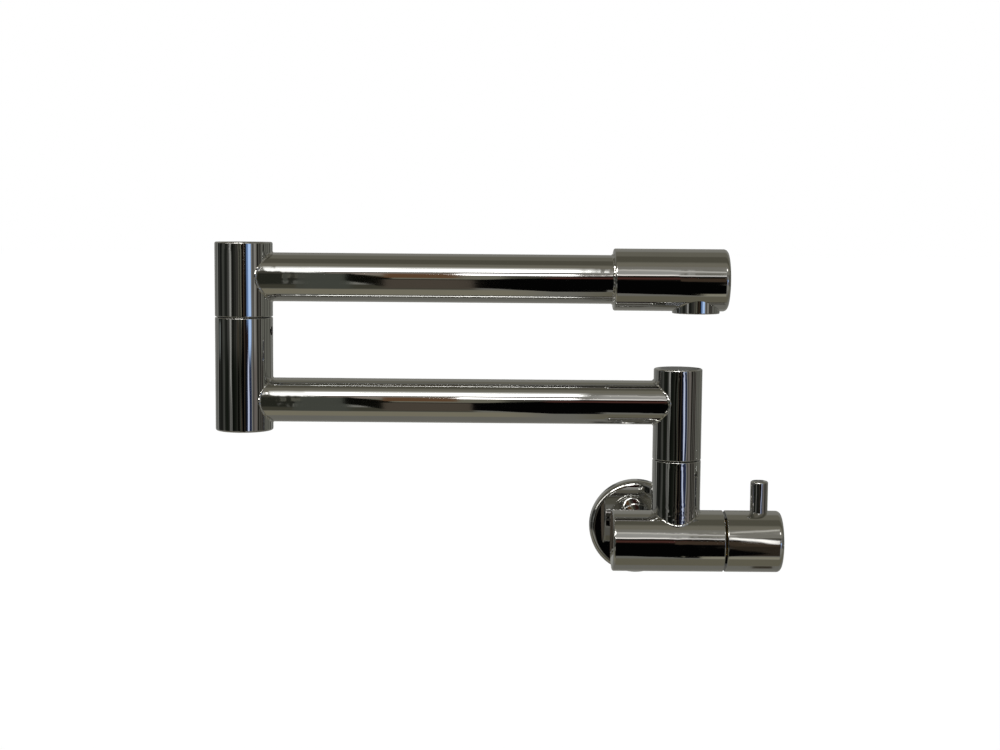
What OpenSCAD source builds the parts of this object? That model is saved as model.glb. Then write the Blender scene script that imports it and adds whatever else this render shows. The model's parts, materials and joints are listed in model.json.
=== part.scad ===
// Folding wall tap for a caravan sink: a quarter-turn valve, a pillar and two folding arms.
// The origin is on the inlet axis in the plane of the wall. The wall is the plane y = 0 and the
// tap stands out from it towards -y. The arms are folded along x, the handle is on the +x side.

/* [Wall and inlet] */
// Distance from the wall to the axis of the valve barrel and of both swivels
wall_offset = 40; // [36:0.5:60]
// Diameter of the round wall flange
flange_d = 44.5; // [40:0.5:60]
// Height of the flange face above the wall
flange_height = 7; // [6:0.25:10]
// Sheet thickness of the pressed flange
flange_wall = 1.2; // [0.8:0.1:2]
// Outer radius of the bend round the edge of the flange
flange_bend = 2.4; // [1.6:0.1:4]
// Thickness of the foam gasket behind the flange
gasket_thickness = 2.5; // [1:0.25:4]
// Width of the foam gasket ring
gasket_width = 6; // [3:0.5:8]
// Diameter of the inlet neck between barrel and flange
neck_d = 22; // [21.5:0.25:25]
// Major diameter of the G1/2 inlet thread
inlet_thread_d = 20.955; // [20.7:0.005:21]
// Length of the inlet thread behind the wall
inlet_thread_length = 15; // [12:0.5:25]
// Depth of the thread relief below the thread's crest
thread_relief = 0.3; // [0.1:0.05:0.5]
// Water bore of the inlet
inlet_bore_d = 12; // [9:0.5:12.5]
// Diameter of the strainer pressed into the end of the inlet
strainer_d = 15; // [14:0.25:17]
// Thickness of the strainer
strainer_thickness = 3; // [2:0.25:5]
// Diameter of one hole in the strainer
strainer_hole_d = 2.2; // [1.2:0.1:2.6]

/* [Valve barrel] */
// Outer diameter of the barrel and the handle
barrel_d = 28; // [27:0.5:32]
// Distance from the inlet axis to the pillar axis
inlet_to_pillar = 15; // [14:0.5:20]
// Reach of the barrel to the left of the pillar axis
barrel_left_reach = 29; // [27.5:0.5:40]
// Reach of the barrel to the right of the pillar axis
barrel_right_reach = 21.5; // [20:0.5:24]
// Wall of the barrel round its inlet chamber
barrel_wall = 2.5; // [2.25:0.25:3.5]
// Thickness of the end plugs of barrel and hubs
plug_thickness = 3; // [2:0.25:5]
// Thickness of the web that carries the valve seat
seat_web = 2; // [1.5:0.25:2.5]
// Hole through the valve seat
seat_hole_d = 11; // [8:0.5:12]
// Water port from the barrel into the pillar
pillar_port_d = 10; // [8:0.5:11]
// Rounding of the plain outer edges
edge_round = 0.8; // [0.3:0.1:1.2]
// Rounding of the closed ends of handle and spout head
end_round = 2; // [1:0.25:3]

/* [Ceramic cartridge] */
// Major diameter of the cartridge thread
cartridge_thread_d = 20.9; // [20.5:0.05:20.95]
// Length of the cartridge thread
cartridge_thread_length = 8; // [6:0.5:8]
// Outer diameter of the sleeve round the discs
sleeve_d = 18; // [17.4:0.1:18.4]
// Bore of the sleeve
sleeve_bore_d = 15; // [14.6:0.1:15.4]
// Thickness of the seal between seat and discs
seal_thickness = 3; // [2.5:0.1:3.2]
// Height by which the seal stands out of the sleeve
seal_proud = 1.2; // [0.8:0.1:1.5]
// Bore of that seal
seal_bore_d = 10.5; // [9:0.25:12]
// Thickness of each ceramic disc
disc_thickness = 2.5; // [2:0.1:2.8]
// Diameter of the two water holes in each disc
disc_hole_d = 4.4; // [3.5:0.1:4.8]
// Distance of those holes from the disc's axis
disc_hole_offset = 4.3; // [4.2:0.1:4.5]
// Width of the spindle's driving bar
driver_width = 3; // [2.5:0.1:3.2]
// Depth of the slot in the moving disc
driver_depth = 1; // [0.8:0.1:1.4]
// Length of the side windows in the sleeve
window_length = 4; // [3:0.25:4.5]
// Width of the side windows
window_width = 9; // [6:0.5:11]
// Diameter of the spindle
spindle_d = 7.9; // [7.5:0.1:8]
// Diameter of the spindle's thrust disc inside the sleeve's stop rib
thrust_d = 11.2; // [10:0.2:12]
// Thickness of the thrust disc
thrust_thickness = 1.5; // [1:0.1:2]
// Width across the flats of the cartridge's hexagon
hexagon_width = 17; // [15:0.5:17.5]
// Height by which the hexagon stands out of the barrel
hexagon_proud = 3.5; // [2:0.25:5]
// Length of the spindle beyond the hexagon
spindle_reach = 19.5; // [17:0.5:20]
// Cord diameter of the seals on the spindle
spindle_cord_d = 1.2; // [1:0.1:1.4]
// Cord diameter of the seal round the sleeve
sleeve_cord_d = 1.4; // [1.2:0.1:1.8]
// Thickness of the spindle's retaining clip
clip_thickness = 0.8; // [0.6:0.1:1.2]
// Outer diameter of that clip
clip_d = 11; // [10:0.5:13]

/* [Handle] */
// Groove between barrel and handle
handle_gap = 1; // [0.5:0.1:2]
// Length of the handle
handle_length = 25.5; // [24:0.5:32]
// Bore of the handle's hollow end
handle_bore_d = 22; // [21:0.5:23]
// Depth of the handle's hollow end
handle_bore_depth = 6; // [5.5:0.25:7]
// Distance from the handle's inner face to the lever's axis
lever_offset = 15.5; // [12.5:0.5:18]
// Diameter of the lever pin
lever_d = 8; // [7:0.25:9]
// Height of the lever's tip above the barrel axis
lever_tip = 28; // [24:0.5:40]
// Depth of the flat seat under the lever
lever_seat_depth = 0.7; // [0.6:0.1:1]
// Diameter of the lever's threaded stud
lever_stud_d = 6; // [5:0.5:6]
// Length of that stud
lever_stud_length = 7.5; // [5:0.5:8]
// Diameter of the grub screw under the handle
grub_screw_d = 5; // [4:0.5:5]
// Length of that grub screw
grub_screw_length = 8; // [6:0.5:9]
// Depth of the flat on the spindle under the grub screw
spindle_flat = 0.9; // [0.4:0.1:1.2]

/* [Swivels] */
// Height of the pillar's seam above the barrel axis
pillar_height = 37.5; // [36:0.5:50]
// Outer diameter of the pillar and of the hub on it
pillar_d = 22; // [21.5:0.25:24]
// Wall of the pillar round its swivel bore
pillar_wall = 3; // [2.75:0.25:3.5]
// Outer diameter of the two elbow hubs
elbow_d = 26; // [25:0.25:30]
// Wall of the elbow's lower hub round its swivel bore
elbow_wall = 3; // [2.75:0.25:4]
// Width of the fine seam at each swivel
swivel_gap = 0.4; // [0.2:0.05:0.8]
// Wall of the hubs that carry the spigots
hub_wall = 2.5; // [2.25:0.25:2.75]
// Wall of the spigots
spigot_wall = 3; // [2.8:0.1:3.2]
// Length of the spigots below their seam
spigot_length = 17; // [16.5:0.25:18]
// Length of the spigots' heads inside the hubs
spigot_head = 8; // [6:0.5:9]
// Cord diameter of the swivel seals
swivel_cord_d = 1.6; // [1.4:0.1:1.8]
// Depth of the first swivel seal below the seam
first_seal_drop = 10.8; // [10.4:0.1:11.4]
// Spacing of the two swivel seals
seal_spacing = 3.6; // [3:0.1:4]
// Distance of the set screws below their seams
set_screw_drop = 6; // [5.5:0.1:6.5]
// Depth of the groove that the set screws run in
retain_depth = 1.3; // [1:0.1:1.5]
// Diameter of the pillar's set screw
pillar_screw_d = 3; // [2.5:0.5:4]
// Depth of its head below the pillar's surface
pillar_screw_sink = 0.1; // [0.05:0.05:0.6]
// Direction of the pillar's set screw, turned from the front towards the handle
pillar_screw_turn = 48; // [0:1:90]
// Diameter of the elbow's set screw
elbow_screw_d = 4; // [3:0.5:4]
// Depth of its head below the elbow's surface
elbow_screw_sink = 0.6; // [0.2:0.1:1]
// Direction of the elbow's set screw, turned the same way
elbow_screw_turn = 81; // [60:1:90]
// Thickness of the bearing rings let into the lower faces
bearing_thickness = 1.15; // [0.9:0.05:1.5]
// Width of the bearing rings
bearing_width = 1.5; // [1.2:0.1:1.6]

/* [Arms] */
// Distance between the pillar axis and the elbow axis
arm_reach = 197; // [120:1:260]
// Height of the hub on the pillar
lower_hub_height = 41.4; // [38:0.2:60]
// Height of the lower tube's axis above that hub's lower face
lower_tube_rise = 25.7; // [24:0.2:27]
// Outer diameter of the lower tube
lower_tube_d = 20; // [18:0.5:21]
// Height of the elbow's lower hub
elbow_lower_height = 51.3; // [50:0.1:70]
// Height of the lower tube's axis above the elbow's bottom
elbow_bottom_drop = 13.9; // [13.5:0.1:15]
// Height of the elbow's upper hub
elbow_upper_height = 33.6; // [33:0.1:45]
// Height of the upper tube's axis above that hub's lower face
upper_tube_rise = 17.9; // [17.5:0.1:18.5]
// Outer diameter of the upper tube
upper_tube_d = 22; // [20:0.5:22.5]
// Wall of both tubes
tube_wall = 1.5; // [1:0.1:2]
// Water port from a hub into its tube
tube_port_d = 12; // [8:0.5:13]

/* [Spout head and aerator] */
// Start of the spout head before the pillar axis, with the arms folded
head_left_reach = 30; // [25:0.5:45]
// End of the spout head beyond the pillar axis
head_right_reach = 21.5; // [20:0.5:30]
// Wall of the spout head round the tube that it is let onto
head_wall = 3; // [2.5:0.25:5]
// Depth to which the tube is let into the head
head_socket = 10; // [6:0.5:12]
// Thickness of the head's closed end
head_end_wall = 3.5; // [2:0.25:5]
// Distance from the pillar axis to the aerator axis, with the arms folded
aerator_offset = 7.5; // [4:0.5:8]
// Outer diameter of the aerator collar
collar_d = 21.4; // [20.4:0.2:22]
// Height by which the collar stands below the head
collar_proud = 1; // [0.5:0.1:3]
// Height of the collar
collar_height = 7.5; // [6.5:0.1:8.5]
// Thread in the collar that takes the aerator insert
insert_d = 18.5; // [17.5:0.1:19]
// Height of the aerator insert
insert_height = 4.9; // [3.5:0.1:5]
// Thickness of the lip above the aerator parts
collar_lip = 0.8; // [0.6:0.1:1.2]
// Bore through that lip
lip_bore_d = 15.6; // [13:0.2:16.5]
// Thickness of the aerator washer
washer_thickness = 0.8; // [0.6:0.1:1]
// Thickness of the aerator screen
screen_thickness = 0.6; // [0.4:0.1:0.8]
// Pitch of the holes in insert and screen
insert_pitch = 3.3; // [3:0.1:3.5]
// Diameter of a hole in the insert
insert_hole_d = 2.4; // [1.2:0.1:2.6]
// Diameter of a hole in the screen
screen_hole_d = 2; // [1:0.1:2.4]

/* [Clearances] */
// Radial clearance of a turning or sliding fit
running_fit = 0.05; // [0.02:0.01:0.1]
// Clearance between flat faces that turn on each other
face_gap = 0.05; // [0.02:0.01:0.1]
// Clearance of screws, rings and plugs that stay in place
rest_gap = 0.02; // [0.01:0.01:0.05]
// Free space beside a part that turns without touching
free_gap = 0.3; // [0.2:0.05:0.4]

/* [Hidden] */
$fn = 96;
arc_steps = 6;
cut = 0.5;

// Places along and across the tap
axis_y = -wall_offset;
pillar_x = inlet_to_pillar;
elbow_x = pillar_x - arm_reach;
barrel_r = barrel_d / 2;
chamber_d = barrel_d - 2 * barrel_wall;
barrel_left = pillar_x - barrel_left_reach;
barrel_right = pillar_x + barrel_right_reach;
handle_left = barrel_right + handle_gap;
handle_right = handle_left + handle_length;
lever_x = handle_left + lever_offset;

// Cartridge places, counted along the barrel from the valve seat
seat_x = pillar_x - pillar_port_d / 2 - 1.5;
sleeve_x = seat_x + seal_proud;
fixed_disc_x = seat_x + seal_thickness;
moving_disc_x = fixed_disc_x + disc_thickness + face_gap;
slot_x = moving_disc_x + disc_thickness - driver_depth;
window_x = moving_disc_x + disc_thickness;
thrust_x = window_x + window_length;
shoulder_x = thrust_x + thrust_thickness + face_gap;
thread_x = shoulder_x + 1.5;
hexagon_x = thread_x + cartridge_thread_length;
nose_x = barrel_right + hexagon_proud;
spindle_end_x = nose_x + spindle_reach;
sleeve_r = sleeve_d / 2;
disc_r = sleeve_bore_d / 2 - running_fit;
spindle_r = spindle_d / 2;
cartridge_bore_r = cartridge_thread_d / 2 + rest_gap;
stop_r = thrust_d / 2 + running_fit;

// Swivel bores
pillar_bore_d = pillar_d - 2 * pillar_wall;
elbow_bore_d = elbow_d - 2 * elbow_wall;

// Heights above the barrel axis
lower_hub_z = pillar_height + swivel_gap;
lower_hub_top = lower_hub_z + lower_hub_height;
lower_tube_z = lower_hub_z + lower_tube_rise;
elbow_bottom = lower_tube_z - elbow_bottom_drop;
elbow_seam = elbow_bottom + elbow_lower_height;
upper_hub_z = elbow_seam + swivel_gap;
upper_hub_top = upper_hub_z + elbow_upper_height;
upper_tube_z = upper_hub_z + upper_tube_rise;

// Spout head
head_r = upper_tube_d / 2 + head_wall;
head_left = pillar_x - head_left_reach;
head_right = pillar_x + head_right_reach;
aerator_x = pillar_x + aerator_offset;
collar_bottom = upper_tube_z - head_r - collar_proud;
collar_top = collar_bottom + collar_height;
lip_z = collar_top - collar_lip;
screen_z = lip_z - washer_thickness - screen_thickness;
insert_z = screen_z - insert_height;

// Points on an arc about (x, y), from one angle to another
function arc(x, y, r, from, to) =
  [for (i = [0 : arc_steps]) let (a = from + (to - from) * i / arc_steps) [x + r * cos(a), y + r * sin(a)]];

// A tube or bar standing on z = 0 with rounded outer edges
module turned(outer_r, bore_r, length, low_round, high_round) {
  rotate_extrude()
    polygon(concat(
      [[bore_r, 0]],
      arc(outer_r - low_round, low_round, low_round, -90, 0),
      arc(outer_r - high_round, length - high_round, high_round, 0, 90),
      [[bore_r, length]]));
}

// A plain ring standing on z = 0
module ring(outer_r, bore_r, length) {
  difference() {
    cylinder(r = outer_r, h = length);
    translate([0, 0, -cut]) cylinder(r = bore_r, h = length + 2 * cut);
  }
}

// A sealing ring of round cord about z, seated on a groove's floor
module seal_ring(floor_r, cord_d) {
  rotate_extrude() translate([floor_r + cord_d / 2, 0]) circle(d = cord_d, $fn = 32);
}

// A headless screw along +z with its hexagon socket at the top
module socket_screw(d, length) {
  socket = d / 2;
  difference() {
    cylinder(d = d, h = length);
    translate([0, 0, length - socket]) cylinder(d = socket / cos(30), h = socket + cut, $fn = 6);
  }
}

// Holes on a triangular grid, two rows round the centre hole
module hole_grid(pitch, d, length) {
  for (row = [-2 : 2])
    for (place = [0 : 4 - abs(row)])
      translate([(place - (4 - abs(row)) / 2) * pitch, row * pitch * sin(60), -cut])
        cylinder(d = d, h = length + 2 * cut, $fn = 24);
}

// Puts a shape made along +z onto the barrel axis, from x on
module along_barrel(x) {
  translate([x, axis_y, 0]) rotate([0, 90, 0]) children();
}

// Puts a shape made along +z onto an arm's tube axis
module along_arm(x, z) {
  translate([x, axis_y, z]) rotate([0, 90, 0]) children();
}

// Puts a shape made along +z onto the inlet axis, pointing at the room
module from_wall() {
  rotate([90, 0, 0]) children();
}

// Puts a shape made about z onto the pillar axis or the elbow axis
module on_pillar(z) {
  translate([pillar_x, axis_y, z]) children();
}
module on_elbow(z) {
  translate([elbow_x, axis_y, z]) children();
}

// Lays a shape made along +z outwards, turned from the front towards +x
module outwards(turn) {
  rotate([90, 0, turn]) children();
}

// Wall flange: flat pressed rosette with a bent edge, clamped between the neck's shoulder and the wall
module wall_flange() {
  r = flange_d / 2;
  hole_r = inlet_thread_d / 2 + rest_gap;
  bend_z = flange_height - flange_bend;
  inner_bend = flange_bend - flange_wall;
  color("silver")
  from_wall()
  rotate_extrude()
    polygon(concat(
      [[r, 0]],
      arc(r - flange_bend, bend_z, flange_bend, 0, 90),
      [[hole_r, flange_height], [hole_r, flange_height - flange_wall]],
      arc(r - flange_bend, bend_z, inner_bend, 90, 0),
      [[r - flange_wall, 0]]));
}

// Wall gasket: foam ring inside the flange, level with its edge
module wall_gasket() {
  r = flange_d / 2 - flange_wall - rest_gap;
  color("dimgray")
  from_wall() ring(r, r - gasket_width, gasket_thickness);
}

// Inlet neck: stub brazed to the back of the barrel, with the thread behind the wall
module inlet_neck() {
  color("silver")
  difference() {
    union() {
      translate([0, -flange_height, 0]) from_wall() cylinder(d = neck_d, h = wall_offset - flange_height);
      from_wall() cylinder(r = inlet_thread_d / 2 - thread_relief, h = flange_height + cut);
      translate([0, inlet_thread_length, 0]) from_wall() cylinder(d = inlet_thread_d, h = inlet_thread_length);
    }
    along_barrel(-neck_d) cylinder(r = barrel_r, h = 2 * neck_d);
    translate([0, inlet_thread_length + cut, 0])
      from_wall() cylinder(d = inlet_bore_d, h = inlet_thread_length + wall_offset);
    translate([0, inlet_thread_length + cut, 0])
      from_wall() cylinder(r = strainer_d / 2 + rest_gap, h = strainer_thickness + cut);
  }
}

// Inlet strainer: perforated disc in a rim, pressed into the end of the thread
module inlet_strainer() {
  color("dimgray")
  translate([0, inlet_thread_length, 0])
  from_wall()
  difference() {
    cylinder(d = strainer_d, h = strainer_thickness);
    translate([0, 0, -cut]) cylinder(d = inlet_bore_d, h = strainer_thickness - 0.8 + cut);
    for (turn = [0 : 60 : 300])
      rotate(turn) translate([inlet_bore_d / 4 + 0.4, 0, 0])
        cylinder(d = strainer_hole_d, h = strainer_thickness + cut);
  }
}

// Valve barrel: inlet chamber on the left, seat web, cartridge bore on the right
module valve_barrel() {
  length = barrel_right - barrel_left;
  color("silver")
  difference() {
    along_barrel(barrel_left) turned(barrel_r, 0, length, edge_round, edge_round);
    along_barrel(barrel_left - cut) cylinder(d = chamber_d, h = seat_x - seat_web - barrel_left + cut);
    along_barrel(seat_x - seat_web - cut) cylinder(d = seat_hole_d, h = seat_web + 2 * cut);
    along_barrel(seat_x) cylinder(r = cartridge_bore_r, h = length);
    translate([0, axis_y + barrel_d, 0]) from_wall() cylinder(d = inlet_bore_d, h = barrel_d);
    on_pillar(0) cylinder(d = pillar_port_d, h = barrel_d);
  }
}

// Barrel end plug: disc that closes the left end
module barrel_end_plug() {
  color("silver")
  along_barrel(barrel_left) cylinder(r = chamber_d / 2, h = plug_thickness);
}

// Lower member of a swivel, cut for the spigot, its bearing ring and its set screw
module swivel_cuts(bore_d, outer_r, seam_z, depth, screw_d, screw_turn) {
  translate([0, 0, seam_z - depth]) cylinder(d = bore_d, h = depth + cut);
  translate([0, 0, seam_z - bearing_thickness + swivel_gap - face_gap])
    cylinder(r = bore_d / 2 + free_gap + bearing_width + rest_gap, h = bearing_thickness);
  translate([0, 0, seam_z - set_screw_drop])
    outwards(screw_turn) cylinder(r = screw_d / 2 + rest_gap, h = outer_r + cut);
}

// Bearing ring of a swivel, made with the seam at z = 0
module bearing_ring(bore_d) {
  color("black")
  translate([0, 0, swivel_gap - face_gap - bearing_thickness])
    ring(bore_d / 2 + free_gap + bearing_width, bore_d / 2 + free_gap, bearing_thickness);
}

// Set screw of a swivel, made with the seam at z = 0, its tip in the spigot's groove
module set_screw(bore_d, head_r, screw_d, screw_turn) {
  tip_r = bore_d / 2 - running_fit - retain_depth + free_gap;
  color("gray")
  translate([0, 0, -set_screw_drop])
    outwards(screw_turn) translate([0, 0, tip_r]) socket_screw(screw_d, head_r - tip_r);
}

// Spigot of a swivel, made with the hub's lower face at z = 0
module spigot(bore_d, head_r, screw_d) {
  r = bore_d / 2 - running_fit;
  drop = swivel_gap;
  groove = swivel_cord_d + free_gap;
  color("goldenrod")
  difference() {
    union() {
      translate([0, 0, -spigot_length]) cylinder(r = r, h = spigot_length);
      cylinder(r = head_r, h = spigot_head);
    }
    translate([0, 0, -spigot_length - cut]) cylinder(r = r - spigot_wall, h = spigot_length + spigot_head + 2 * cut);
    translate([0, 0, -drop - set_screw_drop - screw_d / 2 - free_gap])
      ring(r + cut, r - retain_depth, screw_d + 2 * free_gap);
    for (place = [0, 1])
      translate([0, 0, -drop - first_seal_drop - place * seal_spacing - groove / 2])
        ring(r + cut, r - swivel_cord_d, groove);
  }
}

// Pair of sealing rings on a spigot, made with the hub's lower face at z = 0
module spigot_seals(bore_d) {
  r = bore_d / 2 - running_fit;
  color("black")
  for (place = [0, 1])
    translate([0, 0, -swivel_gap - first_seal_drop - place * seal_spacing])
      seal_ring(r - swivel_cord_d, swivel_cord_d);
}

// Riser pillar: stub brazed on top of the barrel, bored for the first swivel
module riser_pillar() {
  color("silver")
  difference() {
    on_pillar(0) turned(pillar_d / 2, 0, pillar_height, 0.01, edge_round / 2);
    along_barrel(barrel_left) cylinder(r = barrel_r, h = barrel_right - barrel_left);
    on_pillar(0) cylinder(d = pillar_port_d, h = pillar_height);
    on_pillar(0) swivel_cuts(pillar_bore_d, pillar_d / 2, pillar_height,
      spigot_length + 0.5, pillar_screw_d, pillar_screw_turn);
  }
}

module pillar_bearing_ring() {
  on_pillar(pillar_height) bearing_ring(pillar_bore_d);
}

module pillar_set_screw() {
  on_pillar(pillar_height)
    set_screw(pillar_bore_d, pillar_d / 2 - pillar_screw_sink, pillar_screw_d, pillar_screw_turn);
}

// Cartridge housing: sleeve round the discs, thread into the barrel and hexagon under the handle
module cartridge_housing() {
  color("goldenrod")
  difference() {
    union() {
      along_barrel(sleeve_x) cylinder(r = sleeve_r, h = thread_x - sleeve_x);
      along_barrel(thread_x) cylinder(d = cartridge_thread_d, h = cartridge_thread_length);
      along_barrel(hexagon_x) cylinder(d = hexagon_width / cos(30), h = nose_x - hexagon_x, $fn = 6);
    }
    along_barrel(sleeve_x - cut) cylinder(d = sleeve_bore_d, h = thrust_x - sleeve_x + cut);
    along_barrel(thrust_x - cut) cylinder(r = stop_r, h = shoulder_x - thrust_x + cut);
    intersection() {
      along_barrel(thrust_x - cut) cylinder(d = sleeve_bore_d, h = shoulder_x - thrust_x + cut);
      translate([thrust_x - 1, axis_y - sleeve_r, -sleeve_r]) cube([sleeve_d, sleeve_d, sleeve_r]);
    }
    along_barrel(shoulder_x - cut) cylinder(r = spindle_r + running_fit, h = nose_x - shoulder_x + 2 * cut);
    translate([window_x, axis_y - window_width / 2, -barrel_r])
      cube([window_length, window_width, barrel_d]);
  }
}

// Seal round the sleeve, against the face of the thread
module cartridge_body_seal() {
  color("black")
  along_barrel(thread_x - sleeve_cord_d / 2) seal_ring(sleeve_r, sleeve_cord_d);
}

// Seal between the valve seat and the fixed disc
module cartridge_seat_seal() {
  color("black")
  along_barrel(seat_x) ring(sleeve_bore_d / 2 - rest_gap, seal_bore_d / 2, seal_thickness);
}

// A ceramic disc with its two water holes, made about z
module ceramic_disc(r) {
  color("white")
  difference() {
    cylinder(r = r, h = disc_thickness);
    for (side = [-1, 1])
      translate([side * disc_hole_offset, 0, -cut]) cylinder(d = disc_hole_d, h = disc_thickness + 2 * cut);
  }
}

module fixed_ceramic_disc() {
  along_barrel(fixed_disc_x) ceramic_disc(sleeve_bore_d / 2 - rest_gap);
}

// Moving disc: a quarter turn from the fixed one with the tap shut, slotted for the spindle's bar
module moving_ceramic_disc() {
  slot_width = driver_width + 2 * running_fit;
  difference() {
    along_barrel(moving_disc_x) rotate(90) ceramic_disc(disc_r);
    translate([slot_x, axis_y - slot_width / 2, -sleeve_r]) cube([disc_thickness, slot_width, sleeve_d]);
  }
}

// Spindle: driving bar, thrust disc with the lug that stops it, shaft with two seal grooves
module cartridge_spindle() {
  groove = spindle_cord_d + free_gap;
  neck_x = (window_x + thrust_x) / 2;
  color("goldenrod")
  difference() {
    union() {
      intersection() {
        along_barrel(slot_x + face_gap) cylinder(r = disc_r, h = thrust_x - slot_x - 2 * face_gap);
        translate([slot_x, axis_y - driver_width / 2, -sleeve_r]) cube([sleeve_d, driver_width, sleeve_d]);
      }
      along_barrel(thrust_x + face_gap) cylinder(d = thrust_d, h = thrust_thickness - face_gap);
      intersection() {
        along_barrel(thrust_x + face_gap) cylinder(r = disc_r, h = thrust_thickness - face_gap);
        translate([thrust_x, axis_y - sleeve_r, -sleeve_r])
          cube([thrust_thickness, sleeve_r - free_gap, sleeve_r - free_gap]);
      }
      along_barrel(neck_x) cylinder(r = spindle_r, h = spindle_end_x - neck_x);
    }
    for (place = [0, 1])
      along_barrel(shoulder_x + 4 + place * 3 * spindle_cord_d)
        ring(spindle_r + cut, spindle_r - spindle_cord_d, groove);
    along_barrel(nose_x + face_gap)
      ring(spindle_r + cut, spindle_r - clip_thickness, clip_thickness + 2 * rest_gap);
    translate([handle_left + handle_bore_depth, axis_y - sleeve_r, -sleeve_r - spindle_r + spindle_flat])
      cube([handle_length, sleeve_d, sleeve_r]);
  }
}

// Two seals on the spindle
module spindle_seals() {
  groove = spindle_cord_d + free_gap;
  color("black")
  for (place = [0, 1])
    along_barrel(shoulder_x + 4 + place * 3 * spindle_cord_d + groove / 2)
      seal_ring(spindle_r - spindle_cord_d, spindle_cord_d);
}

// Retaining clip in the spindle's groove, in front of the hexagon
module spindle_clip() {
  color("gray")
  difference() {
    along_barrel(nose_x + face_gap + rest_gap)
      ring(clip_d / 2, spindle_r - clip_thickness + rest_gap, clip_thickness);
    translate([nose_x, axis_y - clip_d, -spindle_r / 2]) cube([2 * clip_thickness, clip_d, spindle_r]);
  }
}

// Handle: hollow over the hexagon, then solid round the spindle, with the lever's seat on top
module handle_knob() {
  seat_z = barrel_r - lever_seat_depth;
  color("silver")
  difference() {
    along_barrel(handle_left) turned(barrel_r, 0, handle_length, edge_round, end_round);
    along_barrel(handle_left - cut) cylinder(d = handle_bore_d, h = handle_bore_depth + cut);
    intersection() {
      along_barrel(handle_left) cylinder(r = spindle_r + rest_gap, h = spindle_end_x - handle_left + rest_gap);
      translate([handle_left, axis_y - barrel_r, spindle_flat - spindle_r - rest_gap])
        cube([handle_length, barrel_d, barrel_d]);
    }
    translate([lever_x, axis_y, seat_z]) cylinder(r = lever_d / 2 + rest_gap, h = barrel_r);
    translate([lever_x, axis_y, seat_z - lever_stud_length - rest_gap])
      cylinder(r = lever_stud_d / 2 + rest_gap, h = barrel_r);
    translate([lever_x, axis_y, -barrel_d]) cylinder(r = grub_screw_d / 2 + rest_gap, h = barrel_d);
  }
}

// Lever pin: plain round pin with a threaded stud
module lever_pin() {
  seat_z = barrel_r - lever_seat_depth;
  color("silver")
  translate([lever_x, axis_y, seat_z]) {
    turned(lever_d / 2, 0, lever_tip - seat_z, 0.1, edge_round);
    translate([0, 0, -lever_stud_length]) cylinder(d = lever_stud_d, h = lever_stud_length);
  }
}

// Grub screw under the handle, pressed on the spindle's flat
module handle_grub_screw() {
  color("gray")
  translate([lever_x, axis_y, spindle_flat - spindle_r - rest_gap])
    rotate([180, 0, 0]) socket_screw(grub_screw_d, grub_screw_length);
}

// Hub with a bore from end to end, made with its lower face at z = 0
module hub(outer_r, bore_r, height, port_z, port_side) {
  difference() {
    turned(outer_r, bore_r, height, edge_round / 2, edge_round);
    translate([0, 0, port_z]) rotate([0, 90 * port_side, 0]) cylinder(d = tube_port_d, h = outer_r + cut);
  }
}

// Lower arm: hub on the pillar, its plug, spigot and seals
module lower_hub() {
  color("silver")
  on_pillar(lower_hub_z) hub(pillar_d / 2, pillar_d / 2 - hub_wall, lower_hub_height, lower_tube_rise, -1);
}

module lower_hub_plug() {
  color("silver")
  on_pillar(lower_hub_top - plug_thickness) cylinder(r = pillar_d / 2 - hub_wall, h = plug_thickness);
}

module lower_spigot() {
  on_pillar(lower_hub_z) spigot(pillar_bore_d, pillar_d / 2 - hub_wall, pillar_screw_d);
}

module lower_spigot_seals() {
  on_pillar(lower_hub_z) spigot_seals(pillar_bore_d);
}

// Lower tube, coped at both ends onto the hubs
module lower_arm_tube() {
  color("silver")
  difference() {
    along_arm(elbow_x, lower_tube_z) ring(lower_tube_d / 2, lower_tube_d / 2 - tube_wall, arm_reach);
    on_pillar(lower_hub_z) cylinder(d = pillar_d, h = lower_hub_height);
    on_elbow(elbow_bottom) cylinder(d = elbow_d, h = elbow_lower_height);
  }
}

// Elbow's lower hub: takes the upper arm's spigot from above
module elbow_lower_hub() {
  color("silver")
  on_elbow(elbow_bottom)
  difference() {
    turned(elbow_d / 2, elbow_bore_d / 2, elbow_lower_height, edge_round, edge_round / 2);
    translate([0, 0, elbow_bottom_drop]) rotate([0, 90, 0]) cylinder(d = tube_port_d, h = elbow_d);
    swivel_cuts(elbow_bore_d, elbow_d / 2, elbow_lower_height,
      spigot_length, elbow_screw_d, elbow_screw_turn);
  }
}

module elbow_bottom_plug() {
  color("silver")
  on_elbow(elbow_bottom) cylinder(d = elbow_bore_d, h = plug_thickness);
}

module elbow_bearing_ring() {
  on_elbow(elbow_seam) bearing_ring(elbow_bore_d);
}

module elbow_set_screw() {
  on_elbow(elbow_seam)
    set_screw(elbow_bore_d, elbow_d / 2 - elbow_screw_sink, elbow_screw_d, elbow_screw_turn);
}

// Upper arm: elbow hub, its plug, spigot and seals
module elbow_upper_hub() {
  color("silver")
  on_elbow(upper_hub_z) hub(elbow_d / 2, elbow_d / 2 - hub_wall, elbow_upper_height, upper_tube_rise, 1);
}

module elbow_top_plug() {
  color("silver")
  on_elbow(upper_hub_top - plug_thickness) cylinder(r = elbow_d / 2 - hub_wall, h = plug_thickness);
}

module elbow_spigot() {
  on_elbow(upper_hub_z) spigot(elbow_bore_d, elbow_d / 2 - hub_wall, elbow_screw_d);
}

module elbow_spigot_seals() {
  on_elbow(upper_hub_z) spigot_seals(elbow_bore_d);
}

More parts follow.
